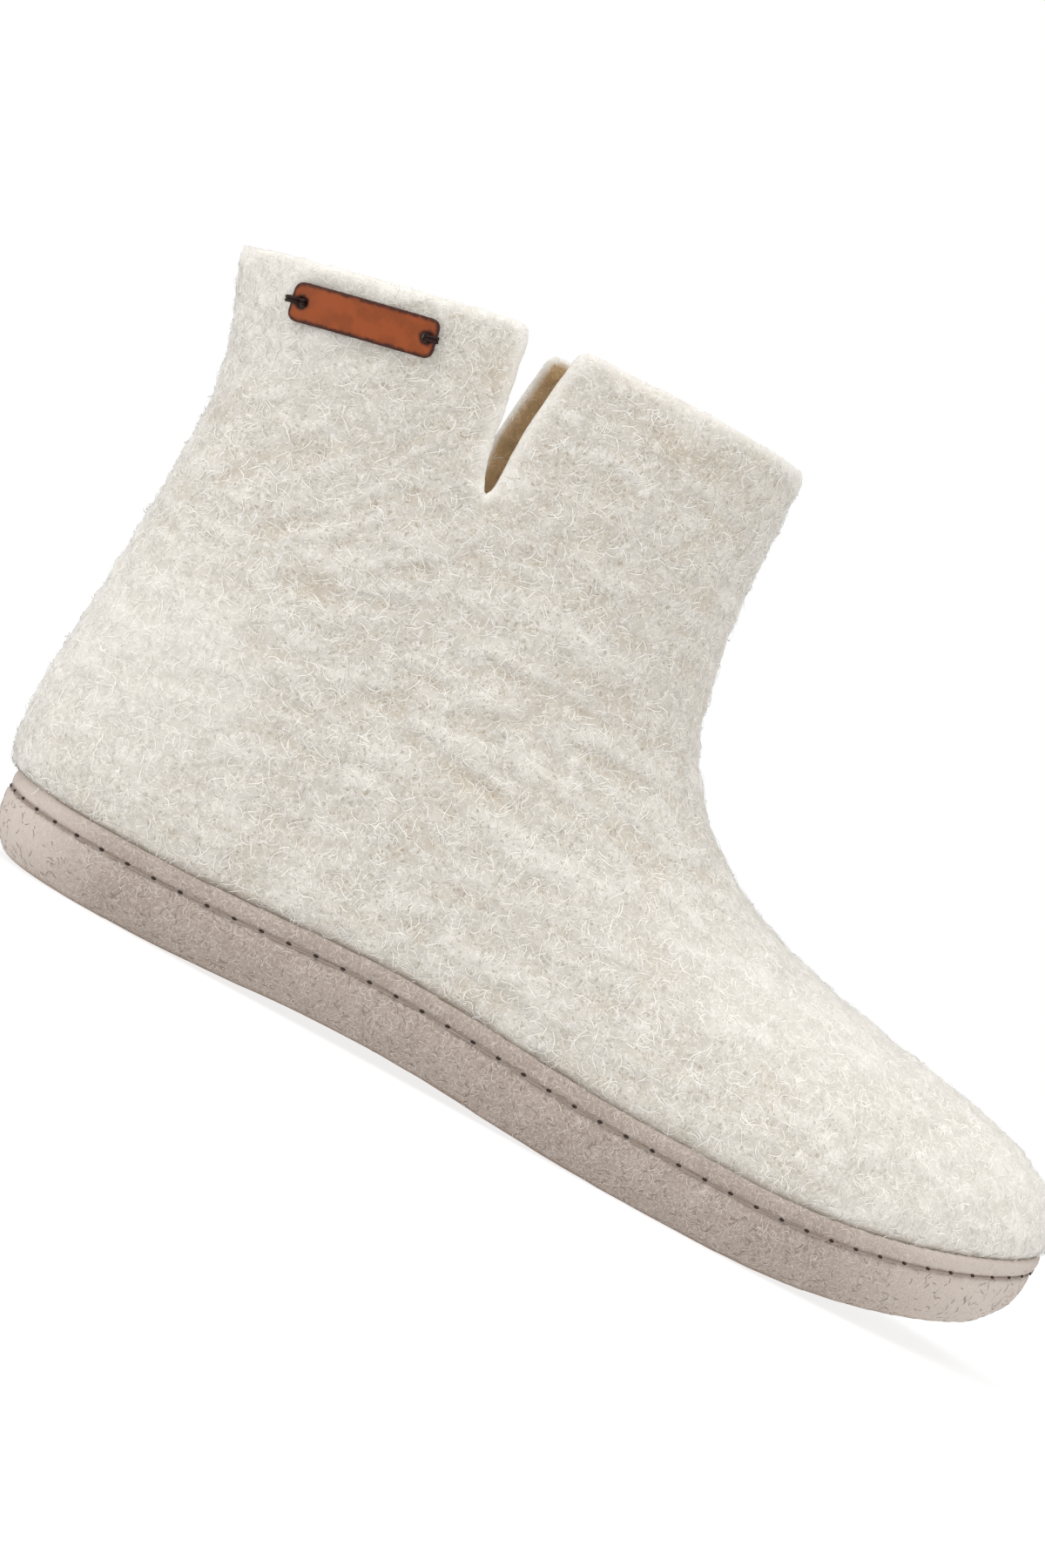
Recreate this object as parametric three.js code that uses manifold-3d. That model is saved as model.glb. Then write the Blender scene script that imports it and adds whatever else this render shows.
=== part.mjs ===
// A right-foot ankle boot of thick felted wool on a suede-covered sole.
// Millimetres, +X towards the toe, -Y towards the outer side of the foot, +Z up.
// The origin is the middle of the heel's flat spot, on the floor.
import * as THREE from 'three';
import { mergeVertices } from 'three/addons/utils/BufferGeometryUtils.js';
import Module from 'manifold-3d';

const wasm = await Module();
wasm.setup();

// Sole: plan
const SOLE_LENGTH = 278;
const HEEL_WIDTH = 70;
const WAIST_WIDTH = 69;
const BALL_WIDTH = 99;
const TOE_TIP_SHIFT = 7; // how far the toe tip lies towards the inner side

// Sole: side view
const SIDE_HEIGHT = 14.6; // floor to the seam under the rand
const ARCH_RISE = 2.7;
const TOE_SPRING = 15.5;
const HEEL_LIFT = 1.2;
const TREAD_THICKNESS = 1.8;
const TREAD_INSET = 5.4; // how far the tread's edge lies in from the sole's side
const SIDE_ROUNDING = 4.6; // how far the sole's side rounds in under the foot
const RAND_HEIGHT = 4.4;
const RAND_THICKNESS = 1.8;
const INSOLE_THICKNESS = 3;
const EDGE_ROUNDING = 0.7; // bevel on the edges of the tread and the insole

// Upper
const FELT_THICKNESS = 4.5;
const COLLAR_FRONT_HEIGHT = 174;
const COLLAR_BACK_HEIGHT = 156.4;
const COLLAR_SLIT_DROP = 2; // how far the front panel's top falls towards the slit
const SHAFT_FRONT = 134; // from the heel's back to the front of the shaft
const SHAFT_WIDTH = 68;
const INSTEP_HEIGHT = 78;
const TOE_BOX_HEIGHT = 57;
const HEEL_BULGE = 5.4; // how far the felt stands out behind the sole
const TOE_BULGE = 0.9;
const COLLAR_FLARE = 11.6; // how far the collar's back leans out
const COLLAR_WIDENING = 1.4; // how much further out each side of the collar stands than the shaft
const SHAFT_BACK_DEPTH = 52; // depth over which the shaft's back is rounded
const SHAFT_FRONT_DEPTH = 49; // depth over which the shaft's front is rounded
const HEEL_SWELL = 2.1; // how far the felt swells out over its foot at the heel's sides
const BALL_SWELL = 1.6; // the same at the ball of the foot
const SWELL_HEIGHT = 18; // height over which it does so
const SLIT_PLACE = 63.8; // from the heel's back to the middle of the slit's foot
const SLIT_DEPTH = 41;
const SLIT_BACK_LEAN = 7; // how far the slit's back edge leans away over its depth
const SLIT_FRONT_LEAN = 1.8;
const SLIT_FOOT_WIDTH = 3.8;
const SLIT_CORNER = 3.6; // rounding of the collar's corners at the slit
const COLLAR_STEP = 0.8; // how much lower the back panel ends at the slit than the front panel

// Leather tag and its two ties
const TAG_LENGTH = 34.7;
const TAG_HEIGHT = 9.5;
const TAG_THICKNESS = 1.5;
const TAG_CORNER = 2.2;
const TAG_TILT = 12.6; // degrees, up towards the toe
const TAG_ALONG = 19.3; // from the heel's back to the tag's middle
const TAG_UP = 152.3; // from the floor to the tag's middle
const TAG_HOLE_RADIUS = 1.2;
const TAG_HOLE_MARGIN = 2.6; // hole's middle to the tag's end
const TIE_WIDTH = 1.6;
const TIE_THICKNESS = 0.8;
const TIE_REACH = 1.4; // how far beyond the tag's end a tie meets the felt

const CLEARANCE = 0.3; // between pieces that touch

// Detail of the faceted surfaces
const OUTLINE_STEPS = 36; // along each side of the sole
const SECTION_STEPS = 16; // along each side of one section of the upper
const LINE_STEPS = 800; // along a line before it is divided
const SHAFT_SECTIONS = 8;
const VAMP_SECTIONS = 5;
const TOE_SECTIONS = 11;
const TAG_COLUMNS = 9;
const TAG_ROWS = 2;
const TIE_STEPS = 14;
const TIE_SIDES = 6;

// What follows from the sizes above
const FEATHER_INSET = RAND_THICKNESS + CLEARANCE; // the upper's foot, in from the sole's side
const SEAM_HEIGHT = SIDE_HEIGHT + CLEARANCE;
const LIP = RAND_HEIGHT + 0.4; // height of the upper's straight foot inside the rand
const VAMP_LENGTH = SOLE_LENGTH - SHAFT_FRONT;
const FOOT_TIP = SOLE_LENGTH - FEATHER_INSET; // front of the upper's foot, inside the rand
const NOSE = SOLE_LENGTH + TOE_BULGE; // the foremost point of the felt

const { smoothstep, lerp, clamp, mapLinear, degToRad } = THREE.MathUtils;

// Outline of the sole at its widest. along is a share of SOLE_LENGTH, and the two sides are shares of
// half the named width.
const OUTLINE_ROWS = [
  { along: 0.004, width: HEEL_WIDTH, outer: 0.26, inner: 0.25 },
  { along: 0.018, width: HEEL_WIDTH, outer: 0.53, inner: 0.51 },
  { along: 0.055, width: HEEL_WIDTH, outer: 0.82, inner: 0.78 },
  { along: 0.11, width: HEEL_WIDTH, outer: 0.98, inner: 0.95 },
  { along: 0.18, width: HEEL_WIDTH, outer: 1.02, inner: 0.98 },
  { along: 0.28, width: WAIST_WIDTH, outer: 1.06, inner: 0.95 },
  { along: 0.38, width: WAIST_WIDTH, outer: 1.1, inner: 0.9 },
  { along: 0.48, width: WAIST_WIDTH, outer: 1.2, inner: 0.97 },
  { along: 0.58, width: BALL_WIDTH, outer: 0.935, inner: 0.81 },
  { along: 0.67, width: BALL_WIDTH, outer: 0.995, inner: 0.945 },
  { along: 0.75, width: BALL_WIDTH, outer: 0.965, inner: 1.0 },
  { along: 0.83, width: BALL_WIDTH, outer: 0.83, inner: 0.95 },
  { along: 0.9, width: BALL_WIDTH, outer: 0.655, inner: 0.85 },
  { along: 0.95, width: BALL_WIDTH, outer: 0.465, inner: 0.71 },
  { along: 0.982, width: BALL_WIDTH, outer: 0.245, inner: 0.51 },
  { along: 0.996, width: BALL_WIDTH, outer: 0.05, inner: 0.32 },
];

// Flat spots of the tread, as shares of SOLE_LENGTH
const HEEL_FLAT = [0.066, 0.14];
const FOREFOOT_FLAT = [0.585, 0.71];
const HEEL_SPOT = SOLE_LENGTH * (HEEL_FLAT[0] + HEEL_FLAT[1]) / 2; // middle of the heel's flat spot

// Side of the midsole, from its foot to the seam: inset as a share of SIDE_ROUNDING, height as a share
// of the way from the tread to the seam.
const SIDE_ROWS = [
  { inset: 1.0, height: 0 },
  { inset: 0.62, height: 0.09 },
  { inset: 0.32, height: 0.22 },
  { inset: 0.1, height: 0.43 },
  { inset: -0.02, height: 0.68 },
  { inset: 0.0, height: 0.87 },
  { inset: 0.08, height: 0.97 },
  { inset: 0.2, height: 1.0 },
];

// Section of the rand: inset as a share of RAND_THICKNESS, height as a share of RAND_HEIGHT
const RAND_ROWS = [
  { inset: 0.06, height: 0 },
  { inset: -0.14, height: 0.25 },
  { inset: -0.16, height: 0.6 },
  { inset: 0.12, height: 0.92 },
  { inset: 0.45, height: 1.0 },
  { inset: 1.0, height: 0.98 },
  { inset: 1.0, height: 0 },
];

// Back of the upper above the rand: up is a share of COLLAR_BACK_HEIGHT, out and flare are shares of
// HEEL_BULGE and COLLAR_FLARE.
const BACK_ROWS = [
  { up: 0.153, out: 0.42, flare: 0 },
  { up: 0.178, out: 0.78, flare: 0 },
  { up: 0.236, out: 1.0, flare: 0 },
  { up: 0.318, out: 0.96, flare: 0 },
  { up: 0.414, out: 0.7, flare: 0 },
  { up: 0.541, out: 0.53, flare: 0 },
  { up: 0.7, out: 0.4, flare: 0 },
  { up: 0.777, out: 0.36, flare: 0.05 },
  { up: 0.834, out: 0.25, flare: 0.22 },
  { up: 0.892, out: 0.2, flare: 0.51 },
  { up: 0.943, out: 0.15, flare: 0.87 },
  { up: 0.987, out: 0.1, flare: 1.07 },
  { up: 1.083, out: 0, flare: 1.45 },
  { up: 1.3, out: 0, flare: 2.1 },
];

// Front of the shaft, from above the collar down into the instep: forward is a share of VAMP_LENGTH
// from the shaft's front, up is a share of the rise from the instep to the collar.
const FRONT_ROWS = [
  { forward: -0.011, up: 1.35 },
  { forward: -0.009, up: 1.01 },
  { forward: -0.004, up: 0.79 },
  { forward: -0.001, up: 0.667 },
  { forward: 0.006, up: 0.573 },
  { forward: 0.015, up: 0.479 },
  { forward: 0.031, up: 0.365 },
  { forward: 0.054, up: 0.26 },
  { forward: 0.094, up: 0.169 },
  { forward: 0.161, up: 0.07 },
];

// Ridge of the vamp: forward as above, up is a share of INSTEP_HEIGHT
const VAMP_ROWS = [
  { forward: 0.24, up: 0.992 },
  { forward: 0.3, up: 0.934 },
  { forward: 0.396, up: 0.881 },
  { forward: 0.482, up: 0.844 },
  { forward: 0.568, up: 0.815 },
];

// Ridge of the toe: up is a share of the way from the rand's top at the tip to TOE_BOX_HEIGHT
const TOE_ROWS = [
  { forward: 0.655, up: 1.193 },
  { forward: 0.741, up: 1.113 },
  { forward: 0.827, up: 1.0 },
  { forward: 0.874, up: 0.912 },
  { forward: 0.917, up: 0.803 },
  { forward: 0.96, up: 0.61 },
  { forward: 0.988, up: 0.37 },
];

// Lines and outlines

// A smooth run of points through [a, b] pairs.
function smoothLine(pairs, closed = false) {
  const corners = pairs.map(([a, b]) => new THREE.Vector3(a, b, 0));
  return new THREE.CatmullRomCurve3(corners, closed, 'centripetal').getPoints(LINE_STEPS);
}

// The other coordinate of a line where one of its coordinates first has a value.
function readLine(line, key, value, other) {
  for (let i = 1; i < line.length; i++) {
    const [a, b] = [line[i - 1], line[i]];
    if ((a[key] - value) * (b[key] - value) <= 0 && a[key] !== b[key]) {
      return mapLinear(value, a[key], b[key], a[other], b[other]);
    }
  }
  const last = line[line.length - 1];
  return Math.abs(line[0][key] - value) < Math.abs(last[key] - value) ? line[0][other] : last[other];
}

// How far the tread's underside lies above the floor.
function bottomLift(x) {
  const share = x / SOLE_LENGTH;
  const heel = HEEL_LIFT * clamp(1 - share / HEEL_FLAT[0], 0, 1) ** 2;
  const span = clamp((share - HEEL_FLAT[1]) / (FOREFOOT_FLAT[0] - HEEL_FLAT[1]), 0, 1);
  const toe = TOE_SPRING * Math.max(0, (share - FOREFOOT_FLAT[1]) / (1 - FOREFOOT_FLAT[1])) ** 2;
  return heel + ARCH_RISE * Math.sin(Math.PI * span) ** 2 + toe;
}

const seamAt = (x) => bottomLift(x) + SEAM_HEIGHT;

// The sole's outline as two dense lines from heel to toe, each point with its outward normal.
function soleSides() {
  const side = (name, sign) => OUTLINE_ROWS.map((row) => [
    row.along * SOLE_LENGTH,
    sign * row[name] * row.width / 2,
  ]);
  const heel = [0, 0];
  const tip = [SOLE_LENGTH, TOE_TIP_SHIFT];
  const ring = smoothLine([heel, ...side('outer', -1), tip, ...side('inner', 1).reverse()], true);
  const count = ring.length - 1;
  const points = ring.slice(0, count).map((point, i) => {
    const along = ring[(i + 1) % count].clone().sub(ring[(i + count - 1) % count]).normalize();
    return { x: point.x, y: point.y, nx: along.y, ny: -along.x };
  });
  const half = count / 2;
  return {
    outer: points.slice(0, half + 1),
    inner: [...points.slice(half), points[0]].reverse(),
  };
}

const SIDES = soleSides();

const insetLine = (side, inset) => SIDES[side].map((p) => (
  { x: p.x - p.nx * inset, y: p.y - p.ny * inset }
));

// Stations from heel to toe, closer together at both ends.
const outlineShares = Array.from({ length: OUTLINE_STEPS + 1 }, (_, i) => (
  (1 - Math.cos(Math.PI * i / OUTLINE_STEPS)) / 2
));

// Plan points of the outline, drawn in by an inset: the outer side from heel to toe, then the inner
// side back to the heel.
function outlineRing(inset) {
  const sidePoints = (name) => outlineShares.map((share) => {
    const x = share * SOLE_LENGTH;
    const value = (other) => readLine(SIDES[name], 'x', x, other);
    return [x - value('nx') * inset, value('y') - value('ny') * inset];
  });
  const outer = sidePoints('outer');
  const inner = sidePoints('inner');
  outer[0] = [inset, 0];
  outer[OUTLINE_STEPS] = [SOLE_LENGTH - inset, TOE_TIP_SHIFT];
  return [...outer, ...inner.slice(1, -1).reverse()];
}

// Solids

// A surface from corner points and triangles, without triangles that have no area.
function geometryOf(points, triangles) {
  const loose = new THREE.BufferGeometry();
  loose.setAttribute('position', new THREE.Float32BufferAttribute(points.flatMap((p) => [p.x, p.y, p.z]), 3));
  loose.setIndex(triangles.flat());
  const merged = mergeVertices(loose, 1e-3);
  const index = merged.index.array;
  const kept = [];
  for (let i = 0; i < index.length; i += 3) {
    const [a, b, c] = index.slice(i, i + 3);
    if (a !== b && b !== c && c !== a) kept.push(a, b, c);
  }
  merged.setIndex(kept);
  return merged;
}

// A closed solid from a surface, with its faces turned outwards.
function solidOf(geometry) {
  const bare = geometry.clone();
  bare.deleteAttribute('normal');
  bare.deleteAttribute('uv');
  const merged = mergeVertices(bare, 1e-3);
  const triVerts = new Uint32Array(merged.index.array);
  const build = () => new wasm.Manifold(new wasm.Mesh({
    numProp: 3, vertProperties: merged.attributes.position.array, triVerts,
  }));
  const solid = build();
  if (solid.volume() >= 0) return solid;
  for (let i = 0; i < triVerts.length; i += 3) {
    [triVerts[i + 1], triVerts[i + 2]] = [triVerts[i + 2], triVerts[i + 1]];
  }
  return build();
}

// The surface of a closed solid.
function geometryFrom(solid) {
  const { vertProperties, triVerts } = solid.getMesh();
  const geometry = new THREE.BufferGeometry();
  geometry.setAttribute('position', new THREE.BufferAttribute(vertProperties, 3));
  geometry.setIndex(new THREE.BufferAttribute(triVerts, 1));
  geometry.computeVertexNormals();
  return geometry;
}

// Triangles that join each ring of points to the next.
function wallTriangles(rings, count) {
  const triangles = [];
  for (let k = 0; k + 1 < rings; k++) {
    for (let i = 0; i < count; i++) {
      const next = (i + 1) % count;
      const [a, b, c, d] = [k * count + i, k * count + next, (k + 1) * count + next, (k + 1) * count + i];
      triangles.push([a, b, c], [a, c, d]);
    }
  }
  return triangles;
}

// Triangles across one ring, in strips from its first half to its second half.
function capTriangles(start, count, flipped) {
  const triangles = [];
  const half = count / 2;
  for (let i = 0; i < half; i++) {
    const [a, b] = [start + i, start + i + 1];
    const [c, d] = [start + (count - i - 1), start + ((count - i) % count)];
    if (i + 1 < half) triangles.push([a, c, b]);
    if (i > 0) triangles.push([a, d, c]);
  }
  return flipped ? triangles.map(([a, b, c]) => [a, c, b]) : triangles;
}

// A sole layer as a solid: the outline at several insets and heights, closed above and below.
function soleLayer(rows) {
  const rings = rows.map(({ inset, height }) => outlineRing(inset).map(([x, y]) => (
    new THREE.Vector3(x, y, bottomLift(x) + height)
  )));
  const count = rings[0].length;
  const triangles = [
    ...capTriangles(0, count, false),
    ...wallTriangles(rings.length, count),
    ...capTriangles((rings.length - 1) * count, count, true),
  ];
  return solidOf(geometryOf(rings.flat(), triangles));
}

// A band around the sole: a closed section of insets and heights, carried round the outline.
function soleBand(rows) {
  const closedRows = [...rows, rows[0]];
  const rings = closedRows.map(({ inset, height }) => outlineRing(inset).map(([x, y]) => (
    new THREE.Vector3(x, y, bottomLift(x) + height)
  )));
  const triangles = wallTriangles(rings.length, rings[0].length);
  return geometryFrom(solidOf(geometryOf(rings.flat(), triangles)));
}

// Sole pieces

const TREAD_TOP = TREAD_THICKNESS + CLEARANCE;

const outsoleGeometry = () => geometryFrom(soleLayer([
  { inset: TREAD_INSET + EDGE_ROUNDING, height: 0 },
  { inset: TREAD_INSET, height: EDGE_ROUNDING },
  { inset: TREAD_INSET, height: TREAD_THICKNESS },
]));

const midsoleGeometry = () => geometryFrom(soleLayer(SIDE_ROWS.map((row) => ({
  inset: row.inset * SIDE_ROUNDING,
  height: lerp(TREAD_TOP, SIDE_HEIGHT, row.height),
}))));

const randGeometry = () => soleBand(RAND_ROWS.map((row) => ({
  inset: row.inset * RAND_THICKNESS,
  height: SEAM_HEIGHT + row.height * RAND_HEIGHT,
})));

function insoleGeometry() {
  const edge = FEATHER_INSET + FELT_THICKNESS + CLEARANCE;
  return geometryFrom(soleLayer([
    { inset: edge, height: SEAM_HEIGHT },
    { inset: edge, height: SEAM_HEIGHT + INSOLE_THICKNESS - EDGE_ROUNDING },
    { inset: edge + EDGE_ROUNDING, height: SEAM_HEIGHT + INSOLE_THICKNESS },
  ]));
}

// Shape of the upper

const TIP_SEAM = seamAt(SOLE_LENGTH);
const TIP_RAND_TOP = TIP_SEAM + RAND_HEIGHT;

// How square the roundings are: of the upper's top on the foot's two sides, and of the shaft's back
const ROUNDNESS = { outer: 2.05, inner: 2.3, back: 2.15 };

// Where the upper's shape changes along the foot, as shares of SOLE_LENGTH
const SWELL_CHANGE = [0.2, 0.6];
const RIDGE_TURN = [0.45, 0.99];
const TOE_START = 0.86;

// Where the foot's section turns into the shaft's, as shares of INSTEP_HEIGHT
const SHAFT_BLEND = [0.6, 1.35];

// Point about which the ankle's sections turn: forward and up as in the tables of the side view
const PIVOT_PLACE = { forward: 0.27, up: 0.52 };

// Height of the felt's foremost point, as a share like those of the toe's ridge
const NOSE_UP = 0.2;

const vampPlace = (forward) => SHAFT_FRONT + forward * VAMP_LENGTH;

// A line of the side view, drawn in towards the inside of the boot.
function drawnIn(line, inset) {
  if (!inset) return line;
  const moved = line.map((point, i) => {
    const along = line[Math.min(i + 1, line.length - 1)].clone().sub(line[Math.max(i - 1, 0)]).normalize();
    return new THREE.Vector3(point.x + along.y * inset, point.y - along.x * inset, 0);
  });
  const nearest = (point) => Math.min(...line.map((other) => other.distanceTo(point)));
  return moved.filter((point) => nearest(point) > inset - 0.02);
}

// The side view of the upper, drawn in by an inset.
function sideView(inset) {
  const toeRise = TOE_BOX_HEIGHT - TIP_RAND_TOP;
  const back = drawnIn(smoothLine([
    [-BACK_ROWS[0].out * HEEL_BULGE, seamAt(0)],
    ...BACK_ROWS.map((row) => [
      -row.out * HEEL_BULGE - row.flare * COLLAR_FLARE,
      row.up * COLLAR_BACK_HEIGHT,
    ]),
  ]), inset);
  const front = drawnIn(smoothLine([
    ...FRONT_ROWS.map((row) => [vampPlace(row.forward), lerp(INSTEP_HEIGHT, COLLAR_FRONT_HEIGHT, row.up)]),
    ...VAMP_ROWS.map((row) => [vampPlace(row.forward), row.up * INSTEP_HEIGHT]),
    ...TOE_ROWS.map((row) => [vampPlace(row.forward), TIP_RAND_TOP + row.up * toeRise]),
    [NOSE, TIP_RAND_TOP + NOSE_UP * toeRise],
    [NOSE, TIP_RAND_TOP],
    [NOSE, TIP_SEAM],
  ]), inset);
  return {
    inset,
    back,
    front,
    top: [...front].reverse(),
    nose: Math.max(...front.map((p) => p.x)),
    heel: FEATHER_INSET + inset,
    tip: FOOT_TIP - inset,
    outer: insetLine('outer', FEATHER_INSET + inset),
    inner: insetLine('inner', FEATHER_INSET + inset),
  };
}

const backAt = (view, z) => readLine(view.back, 'y', z, 'x');
const frontAt = (view, z) => readLine(view.front, 'y', z, 'x');
const topAt = (view, x) => readLine(view.top, 'x', x, 'y');

// The line along the foot on which the vamp's ridge lies.
const ridgeAt = (x) => TOE_TIP_SHIFT * smoothstep(x / SOLE_LENGTH, ...RIDGE_TURN);

// A rounding that rises from 0 to 1, as a superellipse does.
const rounding = (share, power) => (1 - (1 - clamp(share, 0, 1)) ** power) ** (1 / power);

// Half the upper's width at a point of its side view, before the rounding of its top or front.
function fullHalf(view, side, x, z) {
  const rise = z - seamAt(x);
  const heelEnd = backAt(view, rise + seamAt(0));
  const plan = clamp(mapLinear(x, heelEnd, view.nose, view.heel, view.tip), view.heel, view.tip);
  const across = readLine(view[side], 'x', plan, 'y');
  const ridge = ridgeAt(plan);
  const change = smoothstep(plan / SOLE_LENGTH, ...SWELL_CHANGE);
  const swell = lerp(HEEL_SWELL / HEEL_WIDTH, BALL_SWELL / BALL_WIDTH, change) * 2;
  const risen = smoothstep(rise, LIP - SWELL_HEIGHT / 3, LIP + SWELL_HEIGHT * 2 / 3);
  const foot = Math.max(0, side === 'outer' ? ridge - across : across - ridge) * (1 + swell * risen);
  const widened = COLLAR_WIDENING * smoothstep(z, 0.75 * COLLAR_BACK_HEIGHT, COLLAR_FRONT_HEIGHT);
  const heelDepth = (x - backAt(view, z)) / (SHAFT_BACK_DEPTH - view.inset);
  const shaft = (SHAFT_WIDTH / 2 + widened - view.inset) * rounding(heelDepth, ROUNDNESS.back);
  const blend = smoothstep(z / INSTEP_HEIGHT, ...SHAFT_BLEND);
  return lerp(foot, shaft, blend);
}

// Stations of the upper. Each is a line in the side view from the front or top of the boot to its
// back or foot, with the depth over which its near end is rounded. Those of the shaft lie level,
// those over the ankle and heel turn about a pivot in front of the instep, the rest stand up.

const PIVOT = new THREE.Vector2(
  vampPlace(PIVOT_PLACE.forward),
  lerp(INSTEP_HEIGHT, COLLAR_FRONT_HEIGHT, PIVOT_PLACE.up),
);

// Where the line from the pivot to a far point crosses the front line.
function nearPoint(view, far) {
  const way = far.clone().sub(PIVOT);
  const offSide = (p) => (p.x - PIVOT.x) * way.y - (p.y - PIVOT.y) * way.x;
  for (let i = 1; i < view.front.length; i++) {
    const [a, b] = [offSide(view.front[i - 1]), offSide(view.front[i])];
    const point = new THREE.Vector2().lerpVectors(view.front[i - 1], view.front[i], a / (a - b));
    if (a * b <= 0 && a !== b && point.clone().sub(PIVOT).dot(way) > 0) return point;
  }
  throw new Error('a section of the upper misses its front line');
}

function shaftStations(view) {
  const top = COLLAR_FRONT_HEIGHT + 3 * FELT_THICKNESS;
  return Array.from({ length: SHAFT_SECTIONS }, (_, i) => {
    const z = lerp(top, PIVOT.y, i / SHAFT_SECTIONS);
    const near = new THREE.Vector2(frontAt(view, z), z);
    const far = new THREE.Vector2(backAt(view, z), z);
    return { near, far, depth: SHAFT_FRONT_DEPTH - view.inset, closed: true };
  });
}

// Ends of the turning sections: down the back as shares of the way from the pivot's height to the
// seam, then along the foot as shares of the way from the heel to the pivot
const BACK_SHARES = [0, 0.09, 0.18, 0.28, 0.39, 0.5, 0.6, 0.69, 0.77, 0.84, 0.9, 0.95];
const FOOT_SHARES = [0, 0.015, 0.04, 0.08, 0.14, 0.21, 0.29, 0.38, 0.48, 0.58, 0.68, 0.78, 0.87, 0.94, 1];

function fanStations(view) {
  const backs = BACK_SHARES.map((share) => {
    const z = lerp(PIVOT.y, seamAt(0), share);
    return { far: new THREE.Vector2(backAt(view, z), z), closed: true };
  });
  const feet = FOOT_SHARES.map((share) => {
    const x = lerp(backAt(view, seamAt(0)), PIVOT.x, share);
    return { far: new THREE.Vector2(x, seamAt(x)), closed: false };
  });
  const vampDepth = topAt(view, PIVOT.x) - seamAt(PIVOT.x);
  return [...backs, ...feet].map(({ far, closed }) => {
    const turn = Math.atan2(PIVOT.y - far.y, PIVOT.x - far.x) / (Math.PI / 2);
    const depth = lerp(SHAFT_FRONT_DEPTH - view.inset, vampDepth, turn);
    return { near: nearPoint(view, far), far, depth, closed };
  });
}

// The fore part: upright sections, then sections that lean with the toe's rounded front.
function foreStations(view) {
  const toeStart = TOE_START * SOLE_LENGTH;
  const upright = Array.from({ length: VAMP_SECTIONS }, (_, i) => {
    const x = lerp(PIVOT.x, toeStart, (i + 1) / VAMP_SECTIONS);
    return { near: new THREE.Vector2(x, topAt(view, x)), far: new THREE.Vector2(x, seamAt(x)) };
  });
  const run = view.front.slice(view.front.findIndex((p, i) => i > 0 && p.x >= toeStart));
  const reached = run.map((p, i) => run.slice(1, i + 1).reduce((sum, q, k) => sum + q.distanceTo(run[k]), 0));
  const toes = Array.from({ length: TOE_SECTIONS }, (_, i) => {
    const share = (i + 1) / TOE_SECTIONS;
    const near = run[reached.findIndex((length) => length >= share * reached[run.length - 1] - 1e-6)];
    const x = lerp(toeStart, view.nose, Math.sin(share * Math.PI / 2));
    return { near: new THREE.Vector2(near.x, near.y), far: new THREE.Vector2(x, seamAt(x)) };
  });
  toes[TOE_SECTIONS - 1].near.copy(toes[TOE_SECTIONS - 1].far);
  return [...upright, ...toes].map((station) => ({ ...station, closed: false, upright: true }));
}

// One side's points of a station, from its near end to its far end.
function sectionPoints(view, station, side) {
  const sign = side === 'outer' ? -1 : 1;
  const length = station.near.distanceTo(station.far);
  return Array.from({ length: SECTION_STEPS + 1 }, (_, j) => {
    const share = (1 - Math.cos(Math.PI * j / SECTION_STEPS)) / 2;
    const { x, y: z } = station.near.clone().lerp(station.far, share);
    const top = topAt(view, x);
    const deep = station.upright ? (top - z) / (top - seamAt(x)) : share * length / station.depth;
    const atEnd = j === 0 || (station.closed && j === SECTION_STEPS) || length < 1e-6;
    const half = atEnd ? 0 : fullHalf(view, side, x, z) * rounding(deep, ROUNDNESS[side]);
    return new THREE.Vector3(x, ridgeAt(x) + sign * half, z);
  });
}

// The upper's shape as a closed body: each ring runs down the outer side and back up the inner side.
function bootBody(view) {
  const stations = [...shaftStations(view), ...fanStations(view), ...foreStations(view)];
  const rings = stations.map((station) => [
    ...sectionPoints(view, station, 'outer'),
    ...sectionPoints(view, station, 'inner').slice(1).reverse(),
  ]);
  const count = rings[0].length;
  const triangles = wallTriangles(rings.length, count);
  for (let i = 1; i + 1 < count; i++) triangles.push([0, i + 1, i]);
  return solidOf(geometryOf(rings.flat(), triangles));
}

const OUTSIDE = sideView(0);
const INSIDE = sideView(FELT_THICKNESS);

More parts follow.
